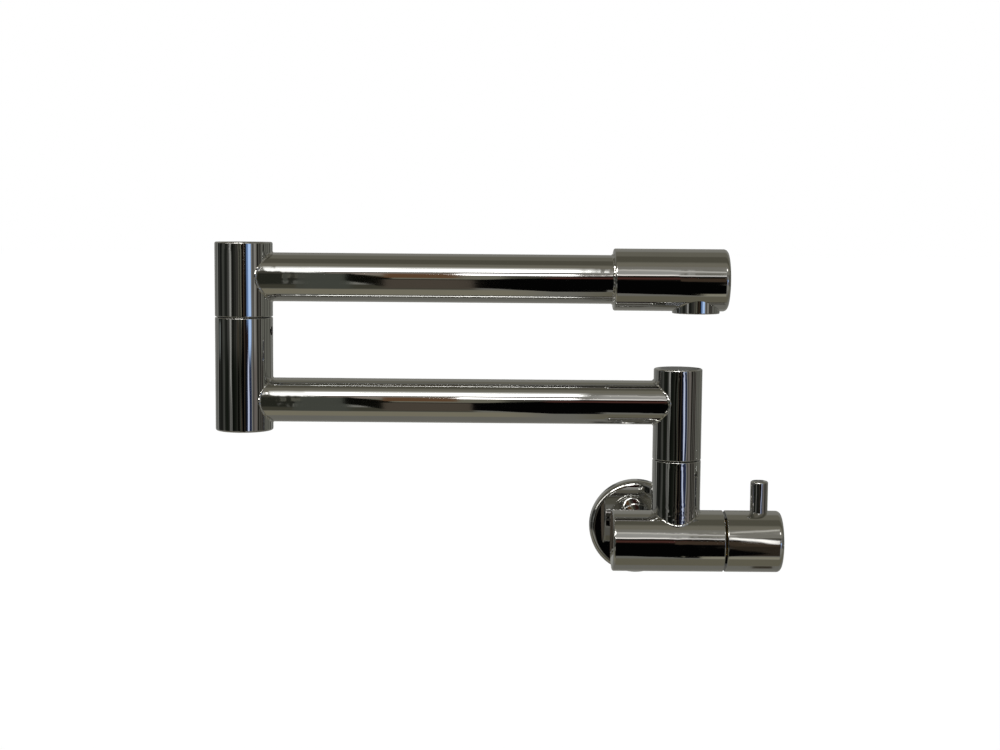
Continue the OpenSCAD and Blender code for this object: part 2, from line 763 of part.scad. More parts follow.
// Upper tube, coped onto the elbow and let into the spout head
module upper_arm_tube() {
  color("silver")
  difference() {
    along_arm(elbow_x, upper_tube_z)
      ring(upper_tube_d / 2, upper_tube_d / 2 - tube_wall, head_left + head_socket - elbow_x);
    on_elbow(upper_hub_z) cylinder(d = elbow_d, h = elbow_upper_height);
  }
}

// Spout head: turned cap with a blind bore, bored from below for the aerator collar
module spout_head() {
  length = head_right - head_left;
  color("silver")
  difference() {
    along_arm(head_left, upper_tube_z) turned(head_r, 0, length, edge_round, end_round);
    along_arm(head_left - cut, upper_tube_z) cylinder(d = upper_tube_d, h = length - head_end_wall + cut);
    translate([aerator_x, axis_y, collar_bottom]) cylinder(d = collar_d, h = collar_height);
  }
}

// Aerator collar: threaded ring let into the underside of the head
module aerator_collar() {
  color("silver")
  translate([aerator_x, axis_y, collar_bottom])
  difference() {
    turned(collar_d / 2, 0, collar_height, edge_round / 2, 0.01);
    translate([0, 0, -cut]) cylinder(d = insert_d, h = collar_height - collar_lip + cut);
    cylinder(d = lip_bore_d, h = collar_height + cut);
  }
}

// Aerator washer, screen and insert, stacked under the collar's lip
module aerator_washer() {
  color("black")
  translate([aerator_x, axis_y, lip_z - washer_thickness])
    ring(insert_d / 2 - rest_gap, lip_bore_d / 2, washer_thickness);
}

module aerator_screen() {
  color("gray")
  translate([aerator_x, axis_y, screen_z])
  difference() {
    cylinder(r = insert_d / 2 - rest_gap, h = screen_thickness);
    hole_grid(insert_pitch, screen_hole_d, screen_thickness);
  }
}

module aerator_insert() {
  color("white")
  translate([aerator_x, axis_y, insert_z])
  difference() {
    cylinder(r = insert_d / 2 - rest_gap, h = insert_height);
    hole_grid(insert_pitch, insert_hole_d, insert_height);
  }
}

wall_flange();
wall_gasket();
inlet_neck();
inlet_strainer();
valve_barrel();
barrel_end_plug();
riser_pillar();
pillar_bearing_ring();
pillar_set_screw();
cartridge_housing();
cartridge_body_seal();
cartridge_seat_seal();
fixed_ceramic_disc();
moving_ceramic_disc();
cartridge_spindle();
spindle_seals();
spindle_clip();
handle_knob();
lever_pin();
handle_grub_screw();
lower_hub();
lower_hub_plug();
lower_spigot();
lower_spigot_seals();
lower_arm_tube();
elbow_lower_hub();
elbow_bottom_plug();
elbow_bearing_ring();
elbow_set_screw();
elbow_upper_hub();
elbow_top_plug();
elbow_spigot();
elbow_spigot_seals();
upper_arm_tube();
spout_head();
aerator_collar();
aerator_washer();
aerator_screen();
aerator_insert();
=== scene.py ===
import json
import math

import bmesh
import bpy
from mathutils import Matrix, Vector
from mathutils.bvhtree import BVHTree
from mathutils.interpolate import poly_3d_calc


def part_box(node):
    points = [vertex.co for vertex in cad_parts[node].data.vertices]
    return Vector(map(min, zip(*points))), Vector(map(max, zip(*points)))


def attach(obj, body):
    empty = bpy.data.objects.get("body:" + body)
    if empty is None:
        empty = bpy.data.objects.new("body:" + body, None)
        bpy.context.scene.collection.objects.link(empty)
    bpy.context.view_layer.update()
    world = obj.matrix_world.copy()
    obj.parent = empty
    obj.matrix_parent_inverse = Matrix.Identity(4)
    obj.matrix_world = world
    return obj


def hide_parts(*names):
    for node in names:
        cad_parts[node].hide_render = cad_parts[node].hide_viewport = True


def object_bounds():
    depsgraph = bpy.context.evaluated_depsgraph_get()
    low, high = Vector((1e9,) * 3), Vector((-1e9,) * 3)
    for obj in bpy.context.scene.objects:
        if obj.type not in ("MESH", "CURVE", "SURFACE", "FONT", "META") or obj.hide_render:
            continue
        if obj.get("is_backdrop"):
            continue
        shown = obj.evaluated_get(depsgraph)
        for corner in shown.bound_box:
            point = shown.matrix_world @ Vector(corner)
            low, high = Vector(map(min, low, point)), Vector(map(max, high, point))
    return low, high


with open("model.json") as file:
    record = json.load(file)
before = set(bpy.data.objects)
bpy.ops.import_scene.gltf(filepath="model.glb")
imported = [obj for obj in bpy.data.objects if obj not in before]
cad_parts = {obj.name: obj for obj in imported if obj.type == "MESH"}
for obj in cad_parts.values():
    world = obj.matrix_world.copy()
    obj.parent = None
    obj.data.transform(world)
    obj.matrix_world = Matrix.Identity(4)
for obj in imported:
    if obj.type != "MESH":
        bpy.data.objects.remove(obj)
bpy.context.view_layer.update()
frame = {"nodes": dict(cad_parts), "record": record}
scene = bpy.context.scene

# Camera
# It stands 0.72 m in front of the folded arms, a little above them, and looks slightly down.
# The small lean is that of the hand that held it.
EYE = (-0.06587, -0.75945, 0.14029)
LOOK_DOWN = math.radians(5.14)
LEAN = math.radians(0.463)

view = bpy.data.cameras.new("camera")
view.sensor_width = 36.0
view.lens = 57.24
camera = bpy.data.objects.new("camera", view)
camera.matrix_world = (
    Matrix.Translation(EYE)
    @ Matrix.Rotation(math.pi / 2 - LOOK_DOWN, 4, "X")
    @ Matrix.Rotation(LEAN, 4, "Z")
)
scene.collection.objects.link(camera)
scene.camera = camera
scene.view_settings.view_transform = "Standard"


# Room
# Chrome has no colour of its own: it shows the room. The world is white to the camera, soft and
# even to dull surfaces, and to mirrors a dim workshop with strips of light and a window.
class Field:
    """A node's output that takes part in Python expressions."""

    def __init__(self, tree, socket):
        self.tree = tree
        self.socket = socket

    def math(self, operation, *others):
        return self.tree.node("Math", dict(enumerate((self, *others))), operation=operation)

    def __add__(self, other):
        return self.math("ADD", other)

    def __sub__(self, other):
        return self.math("SUBTRACT", other)

    def __rsub__(self, other):
        return self.tree.node("Math", {0: other, 1: self}, operation="SUBTRACT")

    def __mul__(self, other):
        return self.math("MULTIPLY", other)

    def __truediv__(self, other):
        return self.math("DIVIDE", other)

    def __neg__(self):
        return self * -1.0

    def __abs__(self):
        return self.math("ABSOLUTE")


class Tree:
    """A node tree, with short ways to add the nodes that are used most."""

    def __init__(self, nodes):
        self.nodes = nodes.nodes
        self.links = nodes.links
        self.nodes.clear()

    def node(self, kind, inputs=None, out=0, family="Shader", **settings):
        """Add a node, fill its inputs with values or other outputs, and return its chosen outputs."""
        made = self.nodes.new(family + "Node" + kind)
        for name, value in settings.items():
            setattr(made, name, value)
        for key, value in (inputs or {}).items():
            socket = made.inputs[key]
            if isinstance(value, list):
                for one in value:
                    self.links.new(one.socket, socket)
            elif isinstance(value, Field):
                self.links.new(value.socket, socket)
            elif socket.type == "RGBA":
                socket.default_value = (*value, 1.0)
            else:
                socket.default_value = value
        if isinstance(out, tuple):
            return [Field(self, made.outputs[key]) for key in out]
        return Field(self, made.outputs[out]) if len(made.outputs) else made

    def shape(self, kind, inputs=None, out=0, **settings):
        return self.node(kind, inputs, out, "Geometry", **settings)

    def vector(self, x=0.0, y=0.0, z=0.0):
        return self.node("CombineXYZ", {0: x, 1: y, 2: z})

    def noise(self, scale, detail, place, **others):
        """Noise with this many lumps to the metre and this many finer layers."""
        return self.node("TexNoise", {"Vector": place, "Scale": scale, "Detail": detail, **others})

    def bump(self, height, depth, strength=1.0):
        """Dents in the surface, this many metres deep."""
        return self.node("Bump", {"Strength": strength, "Distance": depth, "Height": height})

    def blend(self, one, other, share):
        """One colour turning into the other as the share goes from 0 to 1."""
        return self.node("Mix", {0: share, 6: one, 7: other}, out=2, data_type="RGBA")

    def ramp(self, value, low, high, to_low=0.0, to_high=1.0):
        """A smooth step from one value to another."""
        inputs = {0: value, 1: low, 2: high, 3: to_low, 4: to_high}
        return self.node("MapRange", inputs, interpolation_type="SMOOTHSTEP")


PLATE = 0.61


def shown(*screen):
    """The light that the plating mirrors as this screen colour, out of 255."""
    return tuple(((value / 255 + 0.055) / 1.055) ** 2.4 / PLATE for value in screen)


world = bpy.data.worlds.new("room")
world.use_nodes = True
scene.world = world
room = Tree(world.node_tree)
ray = room.node("TexCoord", out="Generated")
right, back, up = room.node("SeparateXYZ", {0: ray}, out=(0, 1, 2))
degrees = 180 / math.pi
rise = up.math("ARCTAN2", -back) * degrees
turn = right.math("ARCTAN2", -back) * degrees
LOW = (-2, -0.088, 0.02)
AT_EYE = (-2, 0.04, 0.04)


def edge(ends, across, sides):
    """An edge of a panel: an angle, or a line between its angles at the panel's two sides."""
    if not isinstance(ends, tuple):
        return ends
    left, far, _ = sides[0]
    return (across - left) * ((ends[1] - ends[0]) / (far - left)) + ends[0]


def painted(under, panels, angle, across):
    """Paint panels over the room, one on another.

    A row holds the angles of both edges, their softness, the sides if it has any, and a colour.
    """
    for low, high, below, above, *sides, colour in panels:
        share = room.ramp(angle - edge(low, across, sides), -below, 0.0)
        share = share * room.ramp(angle - edge(high, across, sides), 0.0, above, 1.0, 0.0)
        for left, far, fade in sides:
            share = share * room.ramp(across, left - fade, left)
            share = share * room.ramp(across, far, far + fade, 1.0, 0.0)
        under = room.blend(under, shown(*colour), share)
    return under


# Ceiling and floor, by the angle that rises from the front (0) over the ceiling (90) to the wall,
# and by how far to the right (-1 to 1)
over = painted(shown(112, 111, 105), (
    (66, 122, 10, 12, (93, 91, 81)),
    (74, 94, 8, 8, (74, 72, 62)),
    (44, 60, 2, 12, (102, 99, 88)),
    (-132, -44, 8, 6, (98, 97, 91)),
    (-80, -60, 10, 10, (-2, 0.0, 0.04), (111, 107, 92)),
    (-92, -64, 8, 6, (0.07, 2, 0.03), (90, 87, 74)),
    (-50, -34, 8, 6, (-2, -0.02, 0.01), (57, 56, 47)),
    (4, 28, 4, 4, (62, 60, 53)),
    (24, 48, 4, 6, (0.055, 2, 0.008), (110, 108, 101)),
    (20, 36, 4, 8, (0.068, 0.112, 0.02), (140, 139, 135)),
    ((33, 27), 38, 7, 18, (-0.145, -0.118, 0.008), (262, 262, 258)),
    ((30, 34), 38, 5, 19, (-0.11, 0.046, 0.012), (272, 272, 268)),
    ((32, 35), 41, 1, 2, (-0.11, 0.046, 0.004), (560, 560, 550)),
    (16, 22, 4, 4, (-0.106, -0.03, 0.005), (122, 113, 105)),
    (17.5, 21.5, 6, 6, (-0.024, 0.046, 0.006), (262, 260, 258)),
    (18.5, 20.5, 1, 1, (-0.024, 0.044, 0.004), (560, 550, 540)),
    (17.5, 19, 2, 2.5, (0.062, 0.105, 0.015), (235, 230, 225)),
    ((37, 30), (40, 32), 3, 3, (0.07, 0.142, 0.01), (168, 166, 160)),
    ((41, 51), (43, 54), 3, 4, (0.146, 0.172, 0.008), (170, 168, 160)),
    (15.5, 18.5, 2, 2, (0.12, 0.142, 0.02), (190, 188, 184)),
    (-112, -98, 2, 2, (0.157, 0.168, 0.002), (52, 48, 40)),
    (33, 36, 2, 3, (-0.97, -0.5, 0.04), (420, 415, 405)),
    (34, 41, 3, 4, (-0.44, -0.175, 0.02), (560, 555, 540)),
    (38, 43, 3, 4, (0.21, 0.4, 0.04), (300, 297, 290)),
), rise, right)

# What stands around at eye level, by the angle that turns from the front (0) to the handle's side
# (90), and by height (-1 to 1)
around = painted(shown(118, 118, 114), (
    (-112, -50, 5, 2, (44, 45, 42)),
    (-97, -90, 3, 3, (26, 28, 25)),
    (-84, -76, 2, 2, (60, 61, 57)),
    (-70, -62, 2, 2, (28, 30, 26)),
    (-59, -54, 2, 2, (56, 56, 53)),
    (-51, -44, 1.5, 2, AT_EYE, (105, 105, 101)),
    (-48, -45.5, 1, 1, (-0.09, 0.04, 0.02), (225, 225, 220)),
    (-41, -23, 1, 3, (36, 37, 33)),
    (-21, -13, 2, 3, (54, 53, 49)),
    (-10, 1, 3, 2, (100, 98, 86)),
    (3, 17, 1.5, 2, (26, 20, 16)),
    (19, 37, 2, 2, AT_EYE, (95, 120, 160)),
    (27, 36, 1.5, 1.5, AT_EYE, (165, 192, 230)),
    (40, 57, 2, 1.5, (122, 120, 115)),
    (58, 61, 1, 1, (95, 92, 86)),
    (62.5, 67, 1.5, 1.5, (42, 40, 34)),
    (69, 81, 1.5, 2, (78, 76, 70)),
    (84, 140, 2, 6, (94, 94, 87)),
    (-16, 3, 4, 2, (-2, -0.062, 0.01), (60, 56, 48)),
    (5, 24, 2, 2, (-2, -0.062, 0.01), (38, 28, 26)),
    (-106, -100, 2, 2, (-0.078, -0.06, 0.004), (105, 110, 108)),
    (-112, -56, 4, 3, LOW, (32, 33, 30)),
    (-83, -76, 2, 2, LOW, (60, 61, 57)),
    (-70, -60, 2, 2, LOW, (20, 23, 18)),
    (-41, -24, 2, 3, LOW, (19, 22, 17)),
    (-22, -18, 2, 2, LOW, (36, 37, 33)),
    (-15, 5, 3, 3, LOW, (3, 4, 2)),
    (7, 17, 2, 2, LOW, (18, 19, 20)),
    (17, 37, 2, 1, LOW, (36, 42, 62)),
    (23, 28, 2, 1, LOW, (178, 186, 210)),
    (48, 58, 1, 2, LOW, (98, 92, 88)),
    (83, 88, 2, 2, LOW, (52, 48, 44)),
    (101.8, 104.4, 0.5, 0.5, (-0.1515, -0.147, 0.001), (560, 560, 550)),
), turn, up)
streaks = room.node("TexNoise", {"W": turn, "Scale": 0.1, "Detail": 3.0}, noise_dimensions="1D")
around = room.blend(around, shown(8, 8, 7), room.ramp(streaks, 0.48, 0.58, 0.0, 0.72))
mirrored = room.blend(around, over, room.ramp(abs(up), 0.2, 0.3))

# People and benches straight ahead, below the lamps, with wandering outlines
wander = room.noise(26.0, 2.0, ray)
mirrored = painted(mirrored, (
    (-30, 14, 8, 10, (-0.165, -0.129, 0.006), (34, 35, 29)),
    (-50, 16, 6, 8, (-0.121, -0.096, 0.006), (62, 64, 58)),
    ((-12, -44), (18, 2), 2, 4, (-0.096, -0.070, 0.003), (8, 8, 5)),
    (-46, -8, 6, 4, (-0.072, -0.018, 0.003), (68, 62, 54)),
    (3, 18, 2, 6, (-0.072, -0.028, 0.003), (88, 64, 44)),
    ((-42, -60), (-6, 6), 2, 3, (-0.016, 0.035, 0.003), (1, 1, 1)),
    (-60, 3, 2, 3, (0.035, 0.062, 0.006), (1, 1, 1)),
    ((-48, -58), (0, -9), 2, 3, (0.062, 0.138, 0.004), (1, 1, 1)),
    (3.5, 8, 2, 4, (0.035, 0.12, 0.01), (64, 38, 33)),
    (-2, 6, 3, 5, (0.112, 0.146, 0.006), (54, 44, 35)),
    (-12, 6, 4, 5, (0.146, 0.18, 0.006), (54, 46, 37)),
    (-44, -12, 6, 5, (0.146, 0.18, 0.008), (40, 35, 28)),
    ((-50, -38), (-15, -36), 2, 2, (0.138, 0.166, 0.003), (1, 1, 1)),
    (-60, -53, 2, 5, (0.128, 0.18, 0.005), (124, 121, 107)),
    ((20, 0), (23, 12), 2, 2, (0.144, 0.174, 0.002), (262, 260, 255)),
), rise + (wander - 0.5) * 6, right)
path = room.node("LightPath", out=("Is Camera Ray", "Is Glossy Ray"))
seen = room.blend((0.62, 0.62, 0.62), mirrored, path[1])
seen = room.blend(seen, (1.0, 1.0, 1.0), path[0])
shine = room.node("Background", {"Color": seen, "Strength": 1.0})
room.node("OutputWorld", {"Surface": shine})

# Floor and lamp
# A wide pale floor well below the tap and one large soft lamp far above it. The floor renders as
# white as the world where no shadow falls, and is clear from below. Mirrors see neither, only the
# room.
FLOOR_Z = -0.30
FLOOR_HALF = 30.0

floor_mesh = bpy.data.meshes.new("floor")
corners = [(x * FLOOR_HALF, y * FLOOR_HALF, FLOOR_Z) for x, y in ((-1, -1), (1, -1), (1, 1), (-1, 1))]
floor_mesh.from_pydata(corners, [], [(0, 1, 2, 3)])
floor = bpy.data.objects.new("floor", floor_mesh)
scene.collection.objects.link(floor)
floor.visible_glossy = False
paper = bpy.data.materials.new("paper")
paper.use_nodes = True
sheet = Tree(paper.node_tree)
is_camera = sheet.node("LightPath", out="Is Camera Ray")
dull = sheet.node("BsdfDiffuse", {"Color": (0.94, 0.94, 0.94)})
white = sheet.node("Emission", {"Color": (1.0, 1.0, 1.0), "Strength": 1.0})
seen = sheet.node("MixShader", {0: is_camera * 0.6, 1: dull, 2: white})
from_below = sheet.node("NewGeometry", out="Backfacing")
clear = sheet.node("BsdfTransparent")
seen = sheet.node("MixShader", {0: from_below, 1: seen, 2: clear})
sheet.node("OutputMaterial", {"Surface": seen})
floor_mesh.materials.append(paper)
floor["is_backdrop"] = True

lamp_data = bpy.data.lights.new("lamp", "SUN")
lamp_data.energy = 1.5
lamp_data.angle = math.radians(50)
lamp = bpy.data.objects.new("lamp", lamp_data)
lamp.rotation_euler = (math.radians(-12), math.radians(8), 0)
lamp.visible_glossy = False
lamp.visible_camera = False
scene.collection.objects.link(lamp)


# Wall flange
# A flat round rosette pressed from brass sheet and chromed, with its edge bent back to the wall.
# The neck's shoulder clamps it over the gasket. It mirrors the back of the barrel.
MM = 0.001
SIDES = 192
EDGE_ROW = 0.15 * MM


def finished(name, mesh, material, slot, body, *nodes):
    """Make a mesh a piece of the tap: its material, the body it rides on and what it replaces."""
    mesh.name = name
    mesh.materials.clear()
    mesh.materials.append(material)
    piece = bpy.data.objects.new(name, mesh)
    scene.collection.objects.link(piece)
    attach(piece, body)
    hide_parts(*nodes)
    return piece


def smoothed(mesh):
    """Shade a mesh round, with its edges over 35 degrees sharp."""
    mesh.shade_smooth()
    mesh.set_sharp_from_angle(angle=math.radians(35))
    return mesh


def arc(r, z, radius, start, end, steps=8):
    """Points of a section on an arc, with angles in degrees from the outward direction."""
    angles = [math.radians(start + (end - start) * i / steps) for i in range(steps + 1)]
    return [(r + radius * math.cos(a), z + radius * math.sin(a)) for a in angles]


def turned(section, placed=Matrix(), sides=SIDES):
    """Turn a closed section of (radius, height) points about z, and put the result in its place."""
    shape = bmesh.new()
    rings = []
    on_axis = 1e-9
    for r, z in section:
        if r < on_axis:
            rings.append([shape.verts.new((0, 0, z))] * sides)
            continue
        turns = [2 * math.pi * i / sides for i in range(sides)]
        rings.append([shape.verts.new((r * math.cos(a), r * math.sin(a), z)) for a in turns])
    for low, high in zip(rings, rings[1:] + rings[:1]):
        for i in range(sides):
            j = (i + 1) % sides
            corners = list(dict.fromkeys((low[i], low[j], high[j], high[i])))
            if len(corners) > 2:
                shape.faces.new(corners)
    bmesh.ops.recalc_face_normals(shape, faces=shape.faces)
    mesh = bpy.data.meshes.new("turned")
    shape.to_mesh(mesh)
    shape.free()
    mesh.transform(placed)
    return smoothed(mesh)


def material_tree(name):
    """A new material and its empty node tree."""
    material = bpy.data.materials.new(name)
    material.use_nodes = True
    return material, Tree(material.node_tree)


def coordinates(tree, stretch=(1.0, 1.0, 1.0)):
    """Object coordinates, stretched for a grain that runs one way."""
    place = tree.node("TexCoord", out="Object")
    return tree.node("Mapping", {"Vector": place, "Scale": stretch})


def covered(tree, **inputs):
    """End a material's tree in one surface: Base_Color stands for the input Base Color."""
    surface = tree.node("BsdfPrincipled", {key.replace("_", " "): value for key, value in inputs.items()})
    tree.node("OutputMaterial", {"Surface": surface})


def chrome(name, ripple=0.15, cell=90.0, joints=(), along=(1.0, 1.0, 1.0)):
    """Bright plating: a mirror with faint polishing waves, stronger near the places in joints."""
    material, plate = material_tree(name)
    place = plate.node("TexCoord", out="Object")
    drawn = plate.node("Mapping", {"Vector": place, "Scale": along})
    wave = plate.noise(cell, 1.0, drawn)
    polish = plate.noise(900.0, 2.0, place)
    smear = plate.noise(45.0, 4.0, place)
    height = wave * ripple
    for centre, reach, strength in joints:
        apart = plate.node("VectorMath", {0: place, 1: centre}, out="Value", operation="DISTANCE")
        near = plate.ramp(apart, 0.0, reach, strength, 0.0)
        height = height + plate.noise(2.2 * cell, 1.5, place) * near
    height = height + polish * 0.004
    colour = plate.blend((0.59, 0.59, 0.585), (0.64, 0.64, 0.635), smear)
    gloss = plate.ramp(smear, 0.3, 0.8, 0.02, 0.05)
    waves = plate.bump(height, 0.1 * MM)
    covered(plate, Base_Color=colour, Metallic=1.0, Roughness=gloss, Normal=waves)
    return material


FROM_WALL = Matrix.Rotation(math.pi / 2, 4, "X")
low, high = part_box("wall_flange")
flange_r = (high.x - low.x) / 2
flange_height = high.y - low.y
flange_bend = 2.4 * MM
flange_wall = 1.2 * MM
flange_hole = 10.5 * MM
bend_r = flange_r - flange_bend
bend_z = flange_height - flange_bend
section = (
    [(flange_r, 0.0), (flange_r, EDGE_ROW)]
    + arc(bend_r, bend_z, flange_bend, 0, 90, 14)
    + [(bend_r - EDGE_ROW, flange_height), (flange_hole, flange_height)]
    + [(flange_hole, flange_height - flange_wall)]
    + arc(bend_r, bend_z, flange_bend - flange_wall, 90, 0, 8)
    + [(flange_r - flange_wall, 0.0)]
)
flange_chrome = chrome("flange_chrome", ripple=0.12, cell=60.0)
finished("rosette", turned(section, FROM_WALL), flange_chrome, "chrome", "wall_valve", "wall_flange")


# Gasket
# A ring of closed-cell foam rubber, cut from sheet and pressed between the flange and the wall.
# It is level with the flange's edge, so only the back of the tap shows it.
def ring(outer, bore, height, edge, steps=3):
    """Section of a soft ring with rounded edges."""
    return (
        arc(outer - edge, edge, edge, -90, 0, steps)
        + arc(outer - edge, height - edge, edge, 0, 90, steps)
        + arc(bore + edge, height - edge, edge, 90, 180, steps)
        + arc(bore + edge, edge, edge, 180, 270, steps)
    )


low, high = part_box("wall_gasket")
gasket_r = (high.x - low.x) / 2
gasket_width = 6.0 * MM
gasket = ring(gasket_r, gasket_r - gasket_width, high.y - low.y, 0.35 * MM, 4)
foam, sponge = material_tree("foam")
place = sponge.node("TexCoord", out="Object")
pores = sponge.node("TexVoronoi", {"Vector": place, "Scale": 2600.0}, out="Distance")
patches = sponge.noise(160.0, 4.0, place)
pore_dent_and_shade = sponge.ramp(pores, 0.0, 0.45)
tone = sponge.blend((0.10, 0.10, 0.10), (0.15, 0.15, 0.148), patches)
# Painted shade: each pore is darker inside, where the bump also dents it.
tone = sponge.blend((0.05, 0.05, 0.05), tone, pore_dent_and_shade)
dents = sponge.bump(pore_dent_and_shade + patches * 0.3, 0.15 * MM, 0.8)
covered(sponge, Base_Color=tone, Roughness=0.95, Normal=dents)
finished("foam_gasket", turned(gasket, FROM_WALL), foam, "foam", "wall_valve", "wall_gasket")


# Neck and tail
# A turned stub, brazed into the back of the barrel. Its shoulder holds the flange, and the tail
# behind the wall carries the G1/2 pipe thread that screws into the supply elbow.
def bar(outer, bore, length, low_round, high_round, rows=8):
    """Section of a bar or tube with rounded outer edges and a row of faces held next to each."""
    middle = [low_round + (length - low_round - high_round) * i / rows for i in range(1, rows)]
    return (
        [(bore, 0.0)]
        + arc(outer - low_round, low_round, low_round, -90, 0)
        + [(outer, z) for z in (low_round + EDGE_ROW, *middle, length - high_round - EDGE_ROW)]
        + arc(outer - high_round, length - high_round, high_round, 0, 90)
        + [(bore, length)]
    )


def threaded(mesh, major, depth, pitch, start, end):
    """Press a screw thread into the outer rows of a turned shape, before it is put in place."""
    steepness = 1.6
    crest_share = 0.3
    rounding = 1e-6
    for vertex in mesh.vertices:
        r = math.hypot(vertex.co.x, vertex.co.y)
        if r < major - depth - rounding or not start <= vertex.co.z <= end:
            continue
        phase = vertex.co.z / pitch - math.atan2(vertex.co.y, vertex.co.x) / (2 * math.pi)
        flank = min(1.0, max(0.0, steepness * abs(2 * (phase % 1.0) - 1) - crest_share))
        run_out = min(1.0, (vertex.co.z - start) / pitch, (end - vertex.co.z) / pitch)
        wanted = major - depth * (1 - flank * max(0.0, run_out))
        vertex.co.x *= wanted / r
        vertex.co.y *= wanted / r
    return smoothed(mesh)


def drill(r, length, placed, sides=96):
    """A plain cutter that stands on z = 0 of its place."""
    return turned([(0.0, 0.0), (r, 0.0), (r, length), (0.0, length)], placed, sides)


def drilled(mesh, *cutters):
    """Take cutters out of a turned solid, and keep what is left of its surface shaded as before."""
    blank = bpy.data.objects.new("blank", mesh.copy())
    tools = [bpy.data.objects.new("cutter", cutter) for cutter in cutters]
    for thing in (blank, *tools):
        scene.collection.objects.link(thing)
    for tool in tools:
        cut = blank.modifiers.new("cut", "BOOLEAN")
        cut.operation = "DIFFERENCE"
        cut.solver = "EXACT"
        cut.object = tool
    depsgraph = bpy.context.evaluated_depsgraph_get()
    made = smoothed(bpy.data.meshes.new_from_object(blank.evaluated_get(depsgraph)))
    for thing in (blank, *tools):
        bpy.data.objects.remove(thing)

    surface = BVHTree.FromPolygons([v.co for v in mesh.vertices], [p.vertices for p in mesh.polygons])
    normals = [corner.vector.copy() for corner in made.corner_normals]
    touching = 0.01 * MM
    facing_alike = 0.9
    for face in made.polygons:
        for index in face.loop_indices:
            point = made.vertices[made.loops[index].vertex_index].co
            _, _, near, gap = surface.find_nearest(point)
            old = mesh.polygons[near]
            if gap > touching or face.normal.dot(old.normal) < facing_alike:
                continue
            shares = poly_3d_calc([mesh.vertices[v].co for v in old.vertices], point)
            parts = [mesh.corner_normals[i].vector * w for i, w in zip(old.loop_indices, shares)]
            normals[index] = sum(parts, Vector()).normalized()
    made.normals_split_custom_set(normals)
    return made


def at(x, z):
    """A place in the middle plane, where the barrel and both arms lie when the tap is folded."""
    return Matrix.Translation((x, AXIS_Y, z))


AXIS_Y = frame["record"]["behaviour"]["joints"][0]["pos_m"][1]
ALONG = Matrix.Rotation(math.pi / 2, 4, "Y")
low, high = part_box("valve_barrel")
barrel_left = low.x
barrel_right = high.x
barrel_r = (high.z - low.z) / 2
barrel_length = barrel_right - barrel_left
BARREL = at(barrel_left, 0) @ ALONG
barrel_core = drill(barrel_r, barrel_length, BARREL, SIDES)
low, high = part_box("inlet_neck")
tail_y = high.y
neck_r = 11.0 * MM
thread_r = 20.955 / 2 * MM
thread_depth = 1.16 * MM
thread_pitch = 1.814 * MM
relief_r = thread_r - 0.3 * MM
inlet_bore_r = 6.0 * MM
strainer_r = 7.52 * MM
strainer_depth = 3.0 * MM
neck_start = tail_y + flange_height
neck_end = tail_y - AXIS_Y
turn_rows = 14
thread_rows = [i * thread_pitch / turn_rows for i in range(1, int(tail_y / thread_pitch * turn_rows))]
section = (
    [(strainer_r, 0.0), (thread_r - thread_depth, 0.0)]
    + [(thread_r, z) for z in thread_rows]
    + [(thread_r, tail_y), (relief_r, tail_y + 0.3 * MM), (relief_r, neck_start - EDGE_ROW)]
    + [(relief_r, neck_start), (neck_r - EDGE_ROW, neck_start)]
    + arc(neck_r - 0.3 * MM, neck_start + 0.3 * MM, 0.3 * MM, -90, 0, 4)
    + [(neck_r, neck_start + i * (neck_end - neck_start) / 10) for i in range(1, 11)]
    + [(inlet_bore_r, neck_end), (inlet_bore_r, strainer_depth), (strainer_r, strainer_depth)]
)
stub = threaded(turned(section), thread_r, thread_depth, thread_pitch, 0.0, tail_y)
stub.transform(Matrix.Translation((0, tail_y, 0)) @ FROM_WALL)
neck_chrome = chrome("neck_chrome", ripple=0.8, joints=[((0.0, AXIS_Y + barrel_r, 0.0), 16 * MM, 2.0)])
finished("neck_and_tail", drilled(stub, barrel_core), neck_chrome, "chrome", "wall_valve", "inlet_neck")


# Strainer
# A small acetal cage, pressed into the end of the tail, with a woven steel gauze across it that
# keeps grit from the ceramic discs.
def growing(name, *sizes):
    """A Geometry Nodes tree with a named input for each size, and one for the material."""
    group = bpy.data.node_groups.new(name, "GeometryNodeTree")
    for size in sizes:
        group.interface.new_socket(size, in_out="INPUT", socket_type="NodeSocketFloat")
    group.interface.new_socket("material", in_out="INPUT", socket_type="NodeSocketMaterial")
    group.interface.new_socket("shape", in_out="OUTPUT", socket_type="NodeSocketGeometry")
    tree = Tree(group)
    return tree, tree.node("GroupInput", family="", out=tuple(range(len(sizes) + 1)))


def ended(tree, shape, material):
    """Close a Geometry Nodes tree: real faces with the material on them."""
    real = tree.shape("RealizeInstances", {0: shape})
    shape = tree.shape("SetMaterial", {"Geometry": real, "Material": material})
    tree.node("GroupOutput", {0: shape}, family="")
    return tree.nodes.id_data


def grown(group, material, placed=Matrix(), **sizes):
    """Run a Geometry Nodes tree with its sizes, and return the result as a plain mesh."""
    holder = bpy.data.objects.new("holder", bpy.data.meshes.new("start"))
    scene.collection.objects.link(holder)
    growth = holder.modifiers.new("growth", "NODES")
    growth.node_group = group
    for item in group.interface.items_tree:
        if item.name in sizes:
            growth[item.identifier] = sizes[item.name]
        elif item.name == "material":
            growth[item.identifier] = material
    depsgraph = bpy.context.evaluated_depsgraph_get()
    mesh = bpy.data.meshes.new_from_object(holder.evaluated_get(depsgraph))
    bpy.data.objects.remove(holder)
    mesh.transform(placed)
    return smoothed(mesh)


def trimmed(tree, shape, where, radius, domain="POINT"):
    """Leave out what lies farther than this from the middle."""
    reach = tree.node("VectorMath", {0: where}, out="Value", operation="LENGTH")
    outside = tree.node("Compare", {0: reach, 1: radius}, family="Function", operation="GREATER_THAN")
    return tree.shape("DeleteGeometry", {"Geometry": shape, "Selection": outside}, domain=domain)


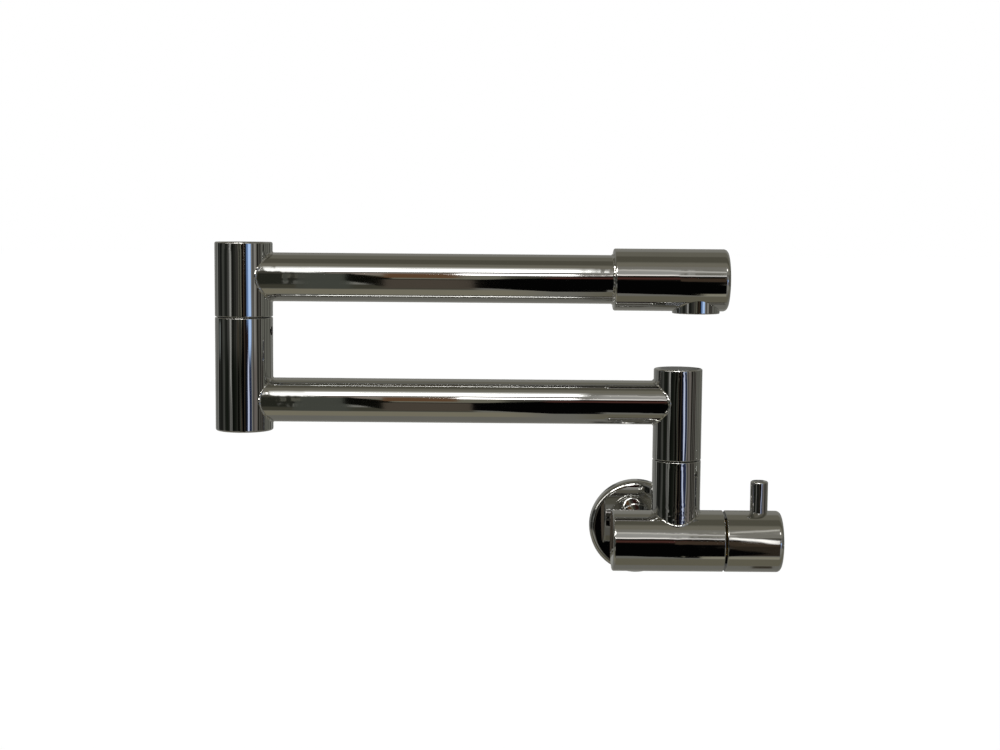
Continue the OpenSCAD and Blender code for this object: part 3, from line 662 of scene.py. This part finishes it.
gauze, (radius, pitch, wire, cloth) = growing("gauze", "radius", "pitch", "wire")
steps = (radius / pitch).math("FLOOR")
strand = gauze.shape("CurvePrimitiveLine", {"Start": gauze.vector(-radius), "End": gauze.vector(radius)})
strand = gauze.shape("ResampleCurve", {"Curve": strand, "Count": steps * 8 + 9})
first = gauze.vector(0.0, -(steps * pitch))
inputs = {"Count": steps * 2 + 1, "Start Location": first, "Offset": gauze.vector(0.0, pitch)}
rows = gauze.shape("MeshLine", inputs)
warp = gauze.shape("InstanceOnPoints", {"Points": rows, "Instance": strand})
warp = gauze.shape("RealizeInstances", {0: warp})
where = gauze.shape("InputPosition")
x, y = gauze.node("SeparateXYZ", {0: where}, out=(0, 1))
over_wires = (x / pitch * math.pi).math("COSINE")
wave = over_wires * (y / pitch * math.pi).math("COSINE")
warp = gauze.shape("SetPosition", {"Geometry": warp, "Offset": gauze.vector(0.0, 0.0, wave * wire)})
weft = gauze.shape("Transform", {"Geometry": warp, "Rotation": (0, 0, math.pi / 2), "Scale": (1, 1, -1)})
both = gauze.shape("JoinGeometry", {0: [warp, weft]})
both = trimmed(gauze, both, where, radius)
round_wire = gauze.shape("CurvePrimitiveCircle", {"Resolution": 5, "Radius": wire})
inputs = {"Curve": both, "Profile Curve": round_wire, "Fill Caps": True}
gauze = ended(gauze, gauze.shape("CurveToMesh", inputs), cloth)


def plain_metal(name, dark, light, roughness, lines):
    """Bare metal with fine tool lines, along the direction in which lines is not stretched."""
    material, metal = material_tree(name)
    grooves = metal.noise(120.0, 3.0, coordinates(metal, lines))
    stain = metal.noise(140.0, 5.0, coordinates(metal))
    colour = metal.blend(dark, light, metal.ramp(stain, 0.3, 0.7))
    gloss = metal.ramp(grooves, 0.3, 0.7, roughness - 0.07, roughness + 0.08)
    marks = metal.bump(grooves, 0.02 * MM, 0.5)
    covered(metal, Base_Color=colour, Metallic=1.0, Roughness=gloss, Normal=marks)
    return material


def moulded(name, dark, light, roughness):
    """Moulded plastic: faint flow marks and a fine spark-eroded grain."""
    material, cast = material_tree(name)
    flow = cast.noise(120.0, 3.0, coordinates(cast), Distortion=1.5)
    grain = cast.noise(5000.0, 2.0, coordinates(cast))
    gloss = cast.ramp(grain, 0.2, 0.8, roughness - 0.06, roughness + 0.08)
    marks = cast.bump(grain, 0.02 * MM, 0.6)
    covered(cast, Base_Color=cast.blend(dark, light, flow), Roughness=gloss, Normal=marks)
    return material


steel = plain_metal("steel", (0.40, 0.40, 0.41), (0.50, 0.50, 0.50), 0.3, (1.0, 1.0, 14.0))
acetal = moulded("acetal", (0.52, 0.53, 0.54), (0.58, 0.59, 0.60), 0.45)
TAIL_END = Matrix.Translation((0, tail_y, 0)) @ FROM_WALL
cage_r = 7.5 * MM
cage_wall = 1.1 * MM
section = (
    arc(cage_r - 0.25 * MM, 0.25 * MM, 0.25 * MM, -90, 0, 4)
    + [(cage_r, strainer_depth), (cage_r - cage_wall, strainer_depth)]
    + arc(cage_r - cage_wall + 0.2 * MM, 0.2 * MM, 0.2 * MM, 180, 270, 4)
)
cage_mesh = turned(section, TAIL_END, 96)
finished("strainer_cage", cage_mesh, acetal, "plastic", "wall_valve", "inlet_strainer")
gauze_place = TAIL_END @ Matrix.Translation((0, 0, 0.9 * MM))
gauze_r = cage_r - cage_wall + 0.2 * MM
mesh_sizes = {"pitch": 0.75 * MM, "wire": 0.12 * MM}
gauze_mesh = grown(gauze, steel, gauze_place, radius=gauze_r, **mesh_sizes)
finished("strainer_gauze", gauze_mesh, steel, "steel", "wall_valve", "inlet_strainer")


# Valve barrel
# The round body lies level: an inlet chamber on the left, the valve seat, and on the right the
# bore for the cartridge. A disc closes its left end, let in flush, and the whole is chromed.
PILLAR_X = frame["record"]["behaviour"]["joints"][0]["pos_m"][0]
low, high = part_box("barrel_end_plug")
chamber_r = (high.z - low.z) / 2
plug_thickness = high.x - low.x
cartridge_bore_r = 10.47 * MM
seat_hole_r = 5.5 * MM
port_r = 5.0 * MM
seat_x = PILLAR_X - port_r - 1.5 * MM - barrel_left
web = 2.0 * MM
edge_round = 0.8 * MM
groove_round = 0.35 * MM
section = bar(barrel_r, chamber_r, barrel_length, edge_round, groove_round, 16)[:-1] + [
    (cartridge_bore_r, barrel_length), (cartridge_bore_r, seat_x), (seat_hole_r, seat_x),
    (seat_hole_r, seat_x - web), (chamber_r, seat_x - web),
]
place = Matrix.Translation((0, AXIS_Y + 2 * barrel_r, 0)) @ FROM_WALL
inlet_drill = drill(inlet_bore_r, 2 * barrel_r, place)
port_drill = drill(port_r, 2 * barrel_r, at(PILLAR_X, 0))
foot_spot = ((PILLAR_X, AXIS_Y - 8 * MM, 9 * MM), 22 * MM, 0.6)
barrel_chrome = chrome("barrel_chrome", ripple=0.5, joints=[foot_spot])
barrel_mesh = drilled(turned(section, BARREL), inlet_drill, port_drill)
finished("barrel", barrel_mesh, barrel_chrome, "chrome", "wall_valve", "valve_barrel")


def end_disc(r, thickness, placed):
    """A disc that closes an end, with a fine broken edge on its outer face."""
    edge = 0.15 * MM
    section = [(0.0, 0.0), (r, 0.0), (r, thickness - edge), (r - edge, thickness), (0.0, thickness)]
    return turned(section, placed, 128)


LEFTWARDS = Matrix.Rotation(-math.pi / 2, 4, "Y")
place = at(barrel_left + plug_thickness, 0) @ LEFTWARDS
plug_mesh = end_disc(chamber_r, plug_thickness, place)
finished("barrel_plug", plug_mesh, barrel_chrome, "chrome", "wall_valve", "barrel_end_plug")


# Pillar
# A short tube brazed upright on the barrel and bored for the first swivel. A fine uneven bead of
# braze runs round its foot, and a set screw below the seam keeps the arm's spigot in.
inputs = ("path_r", "body_r", "bead", "sink", "seed")
braze, (path_r, body_r, bead, sink, seed, plating) = growing("braze", *inputs)
path = braze.shape("CurvePrimitiveCircle", {"Resolution": 220, "Radius": path_r})
where = braze.shape("InputPosition")
x, y = braze.node("SeparateXYZ", {0: where}, out=(0, 1))
height = (body_r * body_r - y * y).math("MAXIMUM", 0.0).math("SQRT")
on_body = braze.vector(x, y, height)
inputs = {0: braze.vector(x / path_r, y / path_r), 1: braze.vector(0.0, y / body_r, height / body_r)}
inwards = braze.node("VectorMath", inputs, operation="ADD")
inwards = braze.node("VectorMath", {0: inwards}, operation="NORMALIZE")
inwards = braze.node("VectorMath", {0: inwards, "Scale": -sink}, operation="SCALE")
path = braze.shape("SetPosition", {"Geometry": path, "Position": on_body, "Offset": inwards})
inputs = {"Vector": where, "W": seed, "Scale": 420.0, "Detail": 3.0}
lumps = braze.node("TexNoise", inputs, noise_dimensions="4D")
wire = braze.shape("CurvePrimitiveCircle", {"Resolution": 12, "Radius": bead})
inputs = {"Curve": path, "Profile Curve": wire, "Scale": braze.ramp(lumps, 0.35, 0.68, 0.84, 1.2)}
braze = ended(braze, braze.shape("CurveToMesh", inputs), plating)


DEPTH_OF_PITCH = 0.54


def screw(d, length, pitch, placed, countersunk=0.25 * MM):
    """A headless screw with a hexagon socket in its upper end and a fine thread round it."""
    r, depth, socket_r = d / 2, DEPTH_OF_PITCH * pitch, d / 4 / math.cos(math.pi / 6)
    rows = [(r, i * pitch / 8) for i in range(3, int(length / pitch * 8) - 2)]
    point_r = 0.55 * r
    point_height = 0.45 * r
    thread_start = 0.4 * r
    section = [(0.0, 0.0), (point_r, 0.0), (r - depth, point_height), *rows]
    section += [(r - depth, length - countersunk / 2), (r - depth - countersunk, length), (0.0, length)]
    blank = threaded(turned(section, sides=48), r, depth, pitch, thread_start, length)
    socket = drill(socket_r, d, Matrix.Translation((0, 0, length - d / 2)), 6)
    mesh = drilled(blank, socket)
    mesh.transform(placed)
    return mesh


def outwards(x, z, angle, r):
    """A place whose z axis points out of an upright axis, turned from the front to the handle."""
    facing = Matrix.Rotation(angle, 4, "Z") @ FROM_WALL
    return at(x, z) @ facing @ Matrix.Translation((0, 0, r))


low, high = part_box("riser_pillar")
pillar_r = (high.x - low.x) / 2
pillar_top = high.z
pillar_bore_r = 8.0 * MM
pillar_floor = pillar_top - 17.5 * MM
ring_seat_r = 9.82 * MM
ring_seat_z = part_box("pillar_bearing_ring")[0].z
seam_round = 0.4 * MM
section = bar(pillar_r, port_r, pillar_top, 0.01 * MM, seam_round, 12)[:-1] + [
    (ring_seat_r, pillar_top), (ring_seat_r, ring_seat_z), (pillar_bore_r, ring_seat_z),
    (pillar_bore_r, pillar_floor), (port_r, pillar_floor),
]
screw_angle = math.radians(48)
screw_r = 1.5 * MM
screw_drop = 6.0 * MM
screw_z = pillar_top - screw_drop
slack = 0.02 * MM
place = outwards(PILLAR_X, screw_z, screw_angle, 0.0)
set_screw_drill = drill(screw_r + slack, 2 * pillar_r, place, 48)
ON_PILLAR = at(PILLAR_X, 0)
UPRIGHT = (1.0, 1.0, 0.15)
foot_spots = [
    ((PILLAR_X, AXIS_Y - 8 * MM, 12 * MM), 12 * MM, 1.5),
    ((PILLAR_X, AXIS_Y - pillar_r, pillar_top), 6 * MM, 1.4),
]
pillar_chrome = chrome("pillar_chrome", ripple=1.4, cell=220.0, joints=foot_spots, along=UPRIGHT)
pillar_mesh = drilled(turned(section, ON_PILLAR), barrel_core, set_screw_drill)
finished("pillar", pillar_mesh, pillar_chrome, "chrome", "wall_valve", "riser_pillar")

BEAD = 1.0 * MM
SUNK = 0.58 * MM
braze_chrome = chrome("braze_chrome", ripple=2.0, cell=500.0)


def brazed(name, node, body, placed, path_r, body_r, seed):
    """The bead of braze round the foot of a tube, where it stands on another."""
    sizes = {"path_r": path_r, "body_r": body_r, "bead": BEAD, "sink": SUNK, "seed": seed}
    finished(name, grown(braze, braze_chrome, placed, **sizes), braze_chrome, "chrome", body, node)


brazed("pillar_braze", "riser_pillar", "wall_valve", ON_PILLAR, pillar_r, barrel_r, 1.0)
behind = at(0, 0) @ Matrix.Rotation(-math.pi / 2, 4, "X")
brazed("neck_braze", "inlet_neck", "wall_valve", behind, neck_r, barrel_r, 5.0)

spigot_fit = 0.05 * MM
groove_depth = 1.3 * MM
tip_gap = 0.3 * MM
tip_r = pillar_bore_r - spigot_fit - groove_depth + tip_gap
head_r = pillar_r - 0.1 * MM
place = outwards(PILLAR_X, screw_z, screw_angle, tip_r)
screw_mesh = screw(2 * screw_r, head_r - tip_r, 0.5 * MM, place, 0.1 * MM)
plated_steel = chrome("plated_steel", ripple=0.05)
finished("pillar_screw", screw_mesh, plated_steel, "steel", "wall_valve", "pillar_set_screw")


def dressed(material, *nodes):
    """Give parts whose shape is right as it stands their material."""
    for node in nodes:
        part = frame["nodes"][node]
        part.data.materials.clear()
        part.data.materials.append(material)


black_acetal = moulded("black_acetal", (0.025, 0.025, 0.026), (0.04, 0.04, 0.04), 0.42)
dressed(black_acetal, "pillar_bearing_ring")


# Cartridge
# The quarter-turn headwork is screwed into the barrel: a turned brass housing and spindle, two
# lapped ceramic discs, moulded seals and a spring clip. It shows only when the handle is off.
BRASS = ((0.66, 0.48, 0.22), (0.76, 0.59, 0.31), 0.26)
brass = plain_metal("turned_brass", *BRASS, (30.0, 1.0, 1.0))
upright_brass = plain_metal("spigot_brass", *BRASS, (1.0, 1.0, 30.0))

alumina, disc = material_tree("alumina")
speck = disc.node("TexVoronoi", {"Vector": coordinates(disc), "Scale": 900.0}, out="Distance")
cloud = disc.noise(180.0, 4.0, coordinates(disc))
tone = disc.blend((0.82, 0.80, 0.74), (0.88, 0.86, 0.81), cloud)
tone = disc.blend((0.55, 0.52, 0.46), tone, disc.ramp(speck, 0.03, 0.1))
covered(disc, Base_Color=tone, Roughness=disc.ramp(cloud, 0.3, 0.7, 0.12, 0.22))

rubber, black = material_tree("rubber")
bloom = black.noise(220.0, 5.0, coordinates(black))
grain = black.noise(4000.0, 2.0, coordinates(black))
tone = black.blend((0.022, 0.022, 0.022), (0.05, 0.05, 0.048), black.ramp(bloom, 0.45, 0.75))
gloss = black.ramp(bloom, 0.3, 0.7, 0.5, 0.68)
covered(black, Base_Color=tone, Roughness=gloss, Normal=black.bump(grain, 0.02 * MM, 0.5))

dressed(brass, "cartridge_housing", "cartridge_spindle")
dressed(alumina, "fixed_ceramic_disc", "moving_ceramic_disc")
dressed(steel, "spindle_clip")

cords, (ring_r, cord_r, count, spacing, stuff) = growing("cords", "ring_r", "cord_r", "count", "spacing")
hoop = cords.shape("CurvePrimitiveCircle", {"Resolution": 96, "Radius": ring_r})
cord = cords.shape("CurvePrimitiveCircle", {"Resolution": 20, "Radius": cord_r})
hoop = cords.shape("CurveToMesh", {"Curve": hoop, "Profile Curve": cord})
places = cords.shape("MeshLine", {"Count": count, "Offset": cords.vector(0.0, 0.0, spacing)})
cords = ended(cords, cords.shape("InstanceOnPoints", {"Points": places, "Instance": hoop}), stuff)


def sealed(name, node, body, axis, count, spacing):
    """Sealing rings in the place of a node of like rings, which lie along one axis."""
    low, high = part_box(node)
    size = high - low
    along = "xyz".index(axis)
    cord_r = (size[along] - (count - 1) * spacing) / 2
    ring_r = max(size) / 2 if count == 1 else (size[(along + 1) % 3]) / 2
    start = (low + high) / 2
    start[along] = low[along] + cord_r
    placed = Matrix.Translation(start) @ (ALONG if axis == "x" else Matrix())
    sizes = {"ring_r": ring_r - cord_r, "cord_r": cord_r, "count": float(count), "spacing": spacing}
    finished(name, grown(cords, rubber, placed, **sizes), rubber, "rubber", body, node)


groove_spacing = 3.6 * MM
sealed("body_seal", "cartridge_body_seal", "wall_valve", "x", 1, 0.0)
sealed("spindle_rings", "spindle_seals", "handle", "x", 2, groove_spacing)
sealed("lower_spigot_rings", "lower_spigot_seals", "lower_arm", "z", 2, groove_spacing)
sealed("elbow_spigot_rings", "elbow_spigot_seals", "upper_arm", "z", 2, groove_spacing)


def washer(outer, bore, thickness, placed, edge=0.15 * MM):
    """A moulded flat ring with softly rounded edges."""
    return turned(ring(outer, bore, thickness, edge), placed, 96)


low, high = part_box("cartridge_seat_seal")
place = at(low.x, 0) @ ALONG
seal_bore_r = 5.25 * MM
seal_mesh = washer((high.z - low.z) / 2, seal_bore_r, high.x - low.x, place)
finished("seat_seal", seal_mesh, rubber, "rubber", "wall_valve", "cartridge_seat_seal")


# Handle
# A chromed knob in line with the barrel, hollow over the cartridge's hexagon and held on the
# spindle by a grub screw from below. A short round pin, screwed into its top, is the lever.
low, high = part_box("handle_knob")
knob_length = high.x - low.x
knob_round = 2.0 * MM
hollow_r = 11.0 * MM
hollow_depth = 6.0 * MM
spindle_bore_r = 3.97 * MM
spindle_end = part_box("cartridge_spindle")[1].x + slack - low.x
section = bar(barrel_r, hollow_r, knob_length, groove_round, knob_round, 12)[:-1] + [
    (0.0, knob_length), (0.0, spindle_end), (spindle_bore_r, spindle_end),
    (spindle_bore_r, hollow_depth), (hollow_r, hollow_depth),
]
pin_low, pin_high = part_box("lever_pin")
LEVER_X = (pin_low.x + pin_high.x) / 2
lever_r = (pin_high.x - pin_low.x) / 2
lever_seat = barrel_r - 0.7 * MM
stud_r = 3.0 * MM
stud_length = 7.5 * MM
grub_r = 2.5 * MM
seat_drill = drill(lever_r + slack, barrel_r, at(LEVER_X, lever_seat))
stud_place = at(LEVER_X, lever_seat - stud_length - slack)
stud_drill = drill(stud_r + slack, barrel_r, stud_place, 48)
grub_place = at(LEVER_X, -2 * barrel_r)
grub_drill = drill(grub_r + slack, 2 * barrel_r, grub_place, 48)
KNOB = at(low.x, 0) @ ALONG
knob_chrome = chrome("knob_chrome", ripple=0.2, cell=70.0)
knob_mesh = drilled(turned(section, KNOB), seat_drill, stud_drill, grub_drill)
finished("knob", knob_mesh, knob_chrome, "chrome", "handle", "handle_knob")

pin_length = pin_high.z - lever_seat
pin_round = 1.0 * MM
section = (
    [(0.0, -stud_length), (stud_r - 0.5 * MM, -stud_length)]
    + [(stud_r, -stud_length + 0.5 * MM + i * 0.125 * MM) for i in range(48)]
    + [(stud_r, -0.8 * MM), (stud_r - 0.5 * MM, -0.6 * MM), (stud_r - 0.5 * MM, 0.0)]
    + [(lever_r - 0.1 * MM, 0.0), (lever_r, 0.1 * MM), (lever_r, 0.1 * MM + EDGE_ROW)]
    + [(lever_r, pin_length * i / 6) for i in range(1, 6)]
    + [(lever_r, pin_length - pin_round - EDGE_ROW)]
    + arc(lever_r - pin_round, pin_length - pin_round, pin_round, 0, 90, 10)
    + [(0.0, pin_length)]
)
pin_blank = turned(section, sides=128)
stud_pitch = 1.0 * MM
stud_start = -stud_length + 0.3 * MM
pin_mesh = threaded(pin_blank, stud_r, DEPTH_OF_PITCH * stud_pitch, stud_pitch, stud_start, -0.7 * MM)
pin_mesh.transform(at(LEVER_X, lever_seat))
pin_chrome = chrome("pin_chrome", ripple=1.6, cell=420.0, along=UPRIGHT)
finished("lever", pin_mesh, pin_chrome, "chrome", "handle", "lever_pin")

low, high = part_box("handle_grub_screw")
UPSIDE_DOWN = Matrix.Rotation(math.pi, 4, "X")
place = at(LEVER_X, high.z) @ UPSIDE_DOWN
grub_mesh = screw(2 * grub_r, high.z - low.z, 0.8 * MM, place)
finished("grub_screw", grub_mesh, steel, "steel", "handle", "handle_grub_screw")


# Lower arm
# An upright hub on the pillar, closed by a disc on top, with the lower tube brazed to its side.
# The brass spigot inside it turns in the pillar on two sealing rings.
def upright(node):
    """Radius, height and place of an upright round node."""
    low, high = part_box(node)
    return (high.x - low.x) / 2, high.z - low.z, at((low.x + high.x) / 2, low.z)


def hub(node, bore_r, low_round, high_round, seat=None):
    """An upright hub in the place of its node, open from end to end, perhaps with a ring seat."""
    r, length, place = upright(node)
    section = bar(r, bore_r, length, low_round, high_round, 12)
    if seat:
        seat_r, seat_floor = seat[0], seat[1] - place.translation.z
        section = section[:-1] + [(seat_r, length), (seat_r, seat_floor), (bore_r, seat_floor)]
    return turned(section, place)


def closed(name, node, material, body, upwards=True):
    """The flush disc in a hub's end, in the place of its node."""
    r, thickness, place = upright(node)
    if not upwards:
        place = place @ Matrix.Translation((0, 0, thickness)) @ UPSIDE_DOWN
    finished(name, end_disc(r, thickness, place), material, "chrome", body, node)


ELBOW_X = frame["record"]["behaviour"]["joints"][1]["pos_m"][0]
tube_port_r = 6.0 * MM
tube_wall = 1.5 * MM
low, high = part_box("lower_arm_tube")
lower_tube_z = (low.z + high.z) / 2
lower_tube_r = (high.z - low.z) / 2
hub_bore_r = 8.5 * MM
left_port = at(PILLAR_X, lower_tube_z) @ LEFTWARDS
hub_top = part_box("lower_hub")[1].z
hub_spots = [
    ((PILLAR_X - pillar_r, AXIS_Y, lower_tube_z), 14 * MM, 1.5),
    ((PILLAR_X, AXIS_Y - pillar_r, hub_top), 6 * MM, 1.4),
]
hub_chrome = chrome("hub_chrome", ripple=1.4, cell=200.0, joints=hub_spots, along=UPRIGHT)
hub_mesh = hub("lower_hub", hub_bore_r, seam_round, edge_round)
hub_mesh = drilled(hub_mesh, drill(tube_port_r, 2 * pillar_r, left_port))
finished("hub", hub_mesh, hub_chrome, "chrome", "lower_arm", "lower_hub")
closed("hub_plug", "lower_hub_plug", hub_chrome, "lower_arm")
dressed(upright_brass, "lower_spigot")


def core(node):
    """The solid outline of an upright hub, which tubes are coped onto."""
    return drill(*upright(node), SIDES)


def tube(z, r, start, end, rows=16):
    """A level tube from one place to another, along the arm."""
    length = end - start
    section = [(r - tube_wall, 0.0)] + [(r, length * i / rows) for i in range(rows + 1)]
    section.append((r - tube_wall, length))
    return turned(section, at(start, z) @ ALONG)


elbow_r = upright("elbow_lower_hub")[0]
ends = [
    ((ELBOW_X + elbow_r, AXIS_Y - 6 * MM, lower_tube_z + 4 * MM), 24 * MM, 0.9),
    ((PILLAR_X - pillar_r, AXIS_Y - 6 * MM, lower_tube_z + 4 * MM), 20 * MM, 0.9),
]
lower_tube_chrome = chrome("lower_tube_chrome", ripple=0.1, cell=55.0, joints=ends)
tube_mesh = tube(lower_tube_z, lower_tube_r, ELBOW_X, PILLAR_X)
tube_mesh = drilled(tube_mesh, core("lower_hub"), core("elbow_lower_hub"))
finished("lower_tube", tube_mesh, lower_tube_chrome, "chrome", "lower_arm", "lower_arm_tube")


for name, placed, body_r, seed in (
    ("lower_tube_braze_right", at(PILLAR_X, lower_tube_z) @ LEFTWARDS, pillar_r, 2.0),
    ("lower_tube_braze_left", at(ELBOW_X, lower_tube_z) @ ALONG, elbow_r, 3.0),
):
    brazed(name, "lower_arm_tube", "lower_arm", placed, lower_tube_r, body_r, seed)


# Elbow, lower half
# A stouter hub on the other end of the lower tube, closed by a disc below and bored from above
# for the upper arm's spigot. A hexagon-socket screw in its side holds that spigot.
elbow_bore_r = 10.0 * MM
elbow_seat = (11.82 * MM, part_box("elbow_bearing_ring")[0].z)
elbow_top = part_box("elbow_lower_hub")[1].z
right_port = at(ELBOW_X, lower_tube_z) @ ALONG
elbow_screw_z = elbow_top - screw_drop
elbow_screw_r = 2.0 * MM
elbow_screw_angle = math.radians(81)
elbow_screw_line = outwards(ELBOW_X, elbow_screw_z, elbow_screw_angle, 0.0)
cutters = (
    drill(tube_port_r, 2 * elbow_r, right_port),
    drill(elbow_screw_r + slack, 2 * elbow_r, elbow_screw_line, 48),
)
spots = [((ELBOW_X + elbow_r, AXIS_Y, lower_tube_z), 16 * MM, 1.0)]
elbow_chrome = chrome("elbow_chrome", ripple=1.1, cell=170.0, joints=spots, along=UPRIGHT)
elbow_mesh = drilled(hub("elbow_lower_hub", elbow_bore_r, edge_round, seam_round, elbow_seat), *cutters)
finished("elbow", elbow_mesh, elbow_chrome, "chrome", "lower_arm", "elbow_lower_hub")
closed("elbow_plug", "elbow_bottom_plug", elbow_chrome, "lower_arm", upwards=False)
dressed(black_acetal, "elbow_bearing_ring")
tip_r = elbow_bore_r - spigot_fit - groove_depth + tip_gap
head_r = elbow_r - 0.6 * MM
place = outwards(ELBOW_X, elbow_screw_z, elbow_screw_angle, tip_r)
screw_mesh = screw(2 * elbow_screw_r, head_r - tip_r, 0.7 * MM, place)
finished("elbow_screw", screw_mesh, steel, "steel", "lower_arm", "elbow_set_screw")


# Upper arm
# The elbow's upper half turns on the lower one and carries the thicker upper tube, which is let
# into the spout head at its other end.
low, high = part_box("upper_arm_tube")
upper_tube_z = (low.z + high.z) / 2
upper_tube_r = (high.z - low.z) / 2
tube_end = high.x
upper_port = at(ELBOW_X, upper_tube_z) @ ALONG
upper_hub_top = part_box("elbow_upper_hub")[1].z
upper_spots = [
    ((ELBOW_X + elbow_r, AXIS_Y, upper_tube_z), 15 * MM, 0.8),
    ((ELBOW_X - 5 * MM, AXIS_Y - elbow_r, upper_hub_top), 7 * MM, 1.5),
]
upper_hub_chrome = chrome("upper_hub_chrome", ripple=0.5, cell=170.0, joints=upper_spots, along=UPRIGHT)
upper_mesh = hub("elbow_upper_hub", elbow_r - 2.5 * MM, seam_round, edge_round)
upper_mesh = drilled(upper_mesh, drill(tube_port_r, 2 * elbow_r, upper_port))
finished("upper_hub", upper_mesh, upper_hub_chrome, "chrome", "upper_arm", "elbow_upper_hub")
closed("upper_hub_plug", "elbow_top_plug", upper_hub_chrome, "upper_arm")
dressed(upright_brass, "elbow_spigot")

head_low, head_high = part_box("spout_head")
ends = [
    ((ELBOW_X + elbow_r, AXIS_Y - 6 * MM, upper_tube_z + 4 * MM), 24 * MM, 0.9),
    ((head_low.x, AXIS_Y - 8 * MM, upper_tube_z + 4 * MM), 14 * MM, 1.0),
]
upper_tube_chrome = chrome("upper_tube_chrome", ripple=0.1, cell=55.0, joints=ends)
tube_mesh = drilled(tube(upper_tube_z, upper_tube_r, ELBOW_X, tube_end), core("elbow_upper_hub"))
finished("upper_tube", tube_mesh, upper_tube_chrome, "chrome", "upper_arm", "upper_arm_tube")
place = at(ELBOW_X, upper_tube_z) @ ALONG
brazed("upper_tube_braze", "upper_arm_tube", "upper_arm", place, upper_tube_r, elbow_r, 4.0)


# Spout head
# A turned cap, soldered over the end of the tube and closed on the right. The aerator's collar
# comes out of its underside.
head_spout_r = (head_high.z - head_low.z) / 2
head_length = head_high.x - head_low.x
end_wall = 3.5 * MM
collar_r, collar_height, AERATOR = upright("aerator_collar")
AERATOR_X = AERATOR.translation.x
section = bar(head_spout_r, upper_tube_r, head_length, edge_round, knob_round, 16)[:-1] + [
    (0.0, head_length), (0.0, head_length - end_wall), (upper_tube_r, head_length - end_wall),
]
HEAD = at(head_low.x, upper_tube_z) @ ALONG
collar_drill = drill(collar_r, collar_height, AERATOR, 128)
spots = [
    ((head_low.x, AXIS_Y - head_spout_r, upper_tube_z + 3 * MM), 10 * MM, 0.8),
    ((PILLAR_X, AXIS_Y - 12 * MM, upper_tube_z + 6 * MM), 16 * MM, 0.6),
]
head_chrome = chrome("head_chrome", ripple=0.5, cell=60.0, joints=spots, along=(0.5, 1.0, 1.0))
head_mesh = drilled(turned(section, HEAD), collar_drill)
finished("head", head_mesh, head_chrome, "chrome", "upper_arm", "spout_head")
brazed("head_solder", "upper_arm_tube", "upper_arm", HEAD, upper_tube_r, 0.0, 6.0)


# Aerator
# A chromed collar under the head holds a rubber washer, a steel gauze and a moulded honeycomb
# that breaks the jet into a soft stream.
lip_z = collar_height - 0.8 * MM
insert_r = 9.25 * MM
lip_r = 7.8 * MM
lead_in = (0.25 * MM, 0.3 * MM)
section = bar(collar_r, insert_r, collar_height, seam_round, 0.01 * MM, 4)[1:-1] + [
    (lip_r, collar_height), (lip_r, lip_z), (insert_r, lip_z),
    (insert_r, lead_in[1]), (insert_r + lead_in[0], 0.0),
]
collar_chrome = chrome("collar_chrome", ripple=0.08)
finished("collar", turned(section, AERATOR), collar_chrome, "chrome", "upper_arm", "aerator_collar")

low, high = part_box("aerator_washer")
place = at(AERATOR_X, low.z)
washer_mesh = washer((high.x - low.x) / 2, lip_r, high.z - low.z, place)
finished("aerator_seal", washer_mesh, rubber, "rubber", "upper_arm", "aerator_washer")

low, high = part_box("aerator_screen")
place = at(AERATOR_X, (low.z + high.z) / 2)
screen_mesh = grown(gauze, steel, place, radius=(high.x - low.x) / 2, **mesh_sizes)
finished("aerator_gauze", screen_mesh, steel, "steel", "upper_arm", "aerator_screen")

comb, (radius, pitch, wall, height, stuff) = growing("honeycomb", "radius", "pitch", "wall", "height")
count = (radius / pitch).math("FLOOR") * 2 + 5
row_pitch = pitch * math.sin(math.pi / 3)
plate = comb.shape("MeshGrid", {0: (count - 1) * pitch, 1: (count - 1) * row_pitch, 2: count, 3: count})
where = comb.shape("InputPosition")
y = comb.node("SeparateXYZ", {0: where}, out=1)
odd = (y / row_pitch).math("ROUND").math("FLOORED_MODULO", 2.0)
shift = comb.vector((odd - 0.5) * pitch * 0.5)
plate = comb.shape("SetPosition", {"Geometry": plate, "Offset": shift})
plate = comb.shape("Triangulate", {"Mesh": plate}, quad_method="SHORTEST_DIAGONAL")
plate = comb.shape("DualMesh", {"Mesh": plate})
plate = trimmed(comb, plate, where, radius - pitch * 0.4, "FACE")
inputs = {"Mesh": plate, "Offset Scale": 0.0, "Individual": True}
plate, hole = comb.shape("ExtrudeMesh", inputs, out=(0, 1))
inset = 1 - wall / pitch
plate = comb.shape("ScaleElements", {"Geometry": plate, "Selection": hole, "Scale": inset})
plate = comb.shape("DeleteGeometry", {"Geometry": plate, "Selection": hole}, domain="FACE")
inputs = {"Mesh": plate, "Offset": comb.vector(0.0, 0.0, height), "Individual": False}
walls = comb.shape("ExtrudeMesh", inputs)
floor_side = comb.shape("FlipFaces", {"Mesh": plate})
cells = comb.shape("JoinGeometry", {0: [walls, floor_side]})
cells = comb.shape("MergeByDistance", {"Geometry": cells, "Distance": 0.002 * MM})
comb = ended(comb, cells, stuff)

low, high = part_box("aerator_insert")
insert_height = high.z - low.z
rim_r = (high.x - low.x) / 2
rim = 1.2 * MM
rim_mesh = washer(rim_r, rim_r - rim, insert_height, at(AERATOR_X, low.z), 0.2 * MM)
finished("aerator_rim", rim_mesh, acetal, "plastic", "upper_arm", "aerator_insert")
comb_inset = 0.4 * MM
comb_r = rim_r - rim + 0.3 * MM
sizes = {"pitch": 1.3 * MM, "wall": 0.3 * MM, "height": insert_height - 2 * comb_inset}
place = at(AERATOR_X, low.z + comb_inset)
comb_mesh = grown(comb, acetal, place, radius=comb_r, **sizes)
finished("aerator_honeycomb", comb_mesh, acetal, "plastic", "upper_arm", "aerator_insert")


# The box round every shown piece of the dressed tap, the floor left out.
low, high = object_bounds()
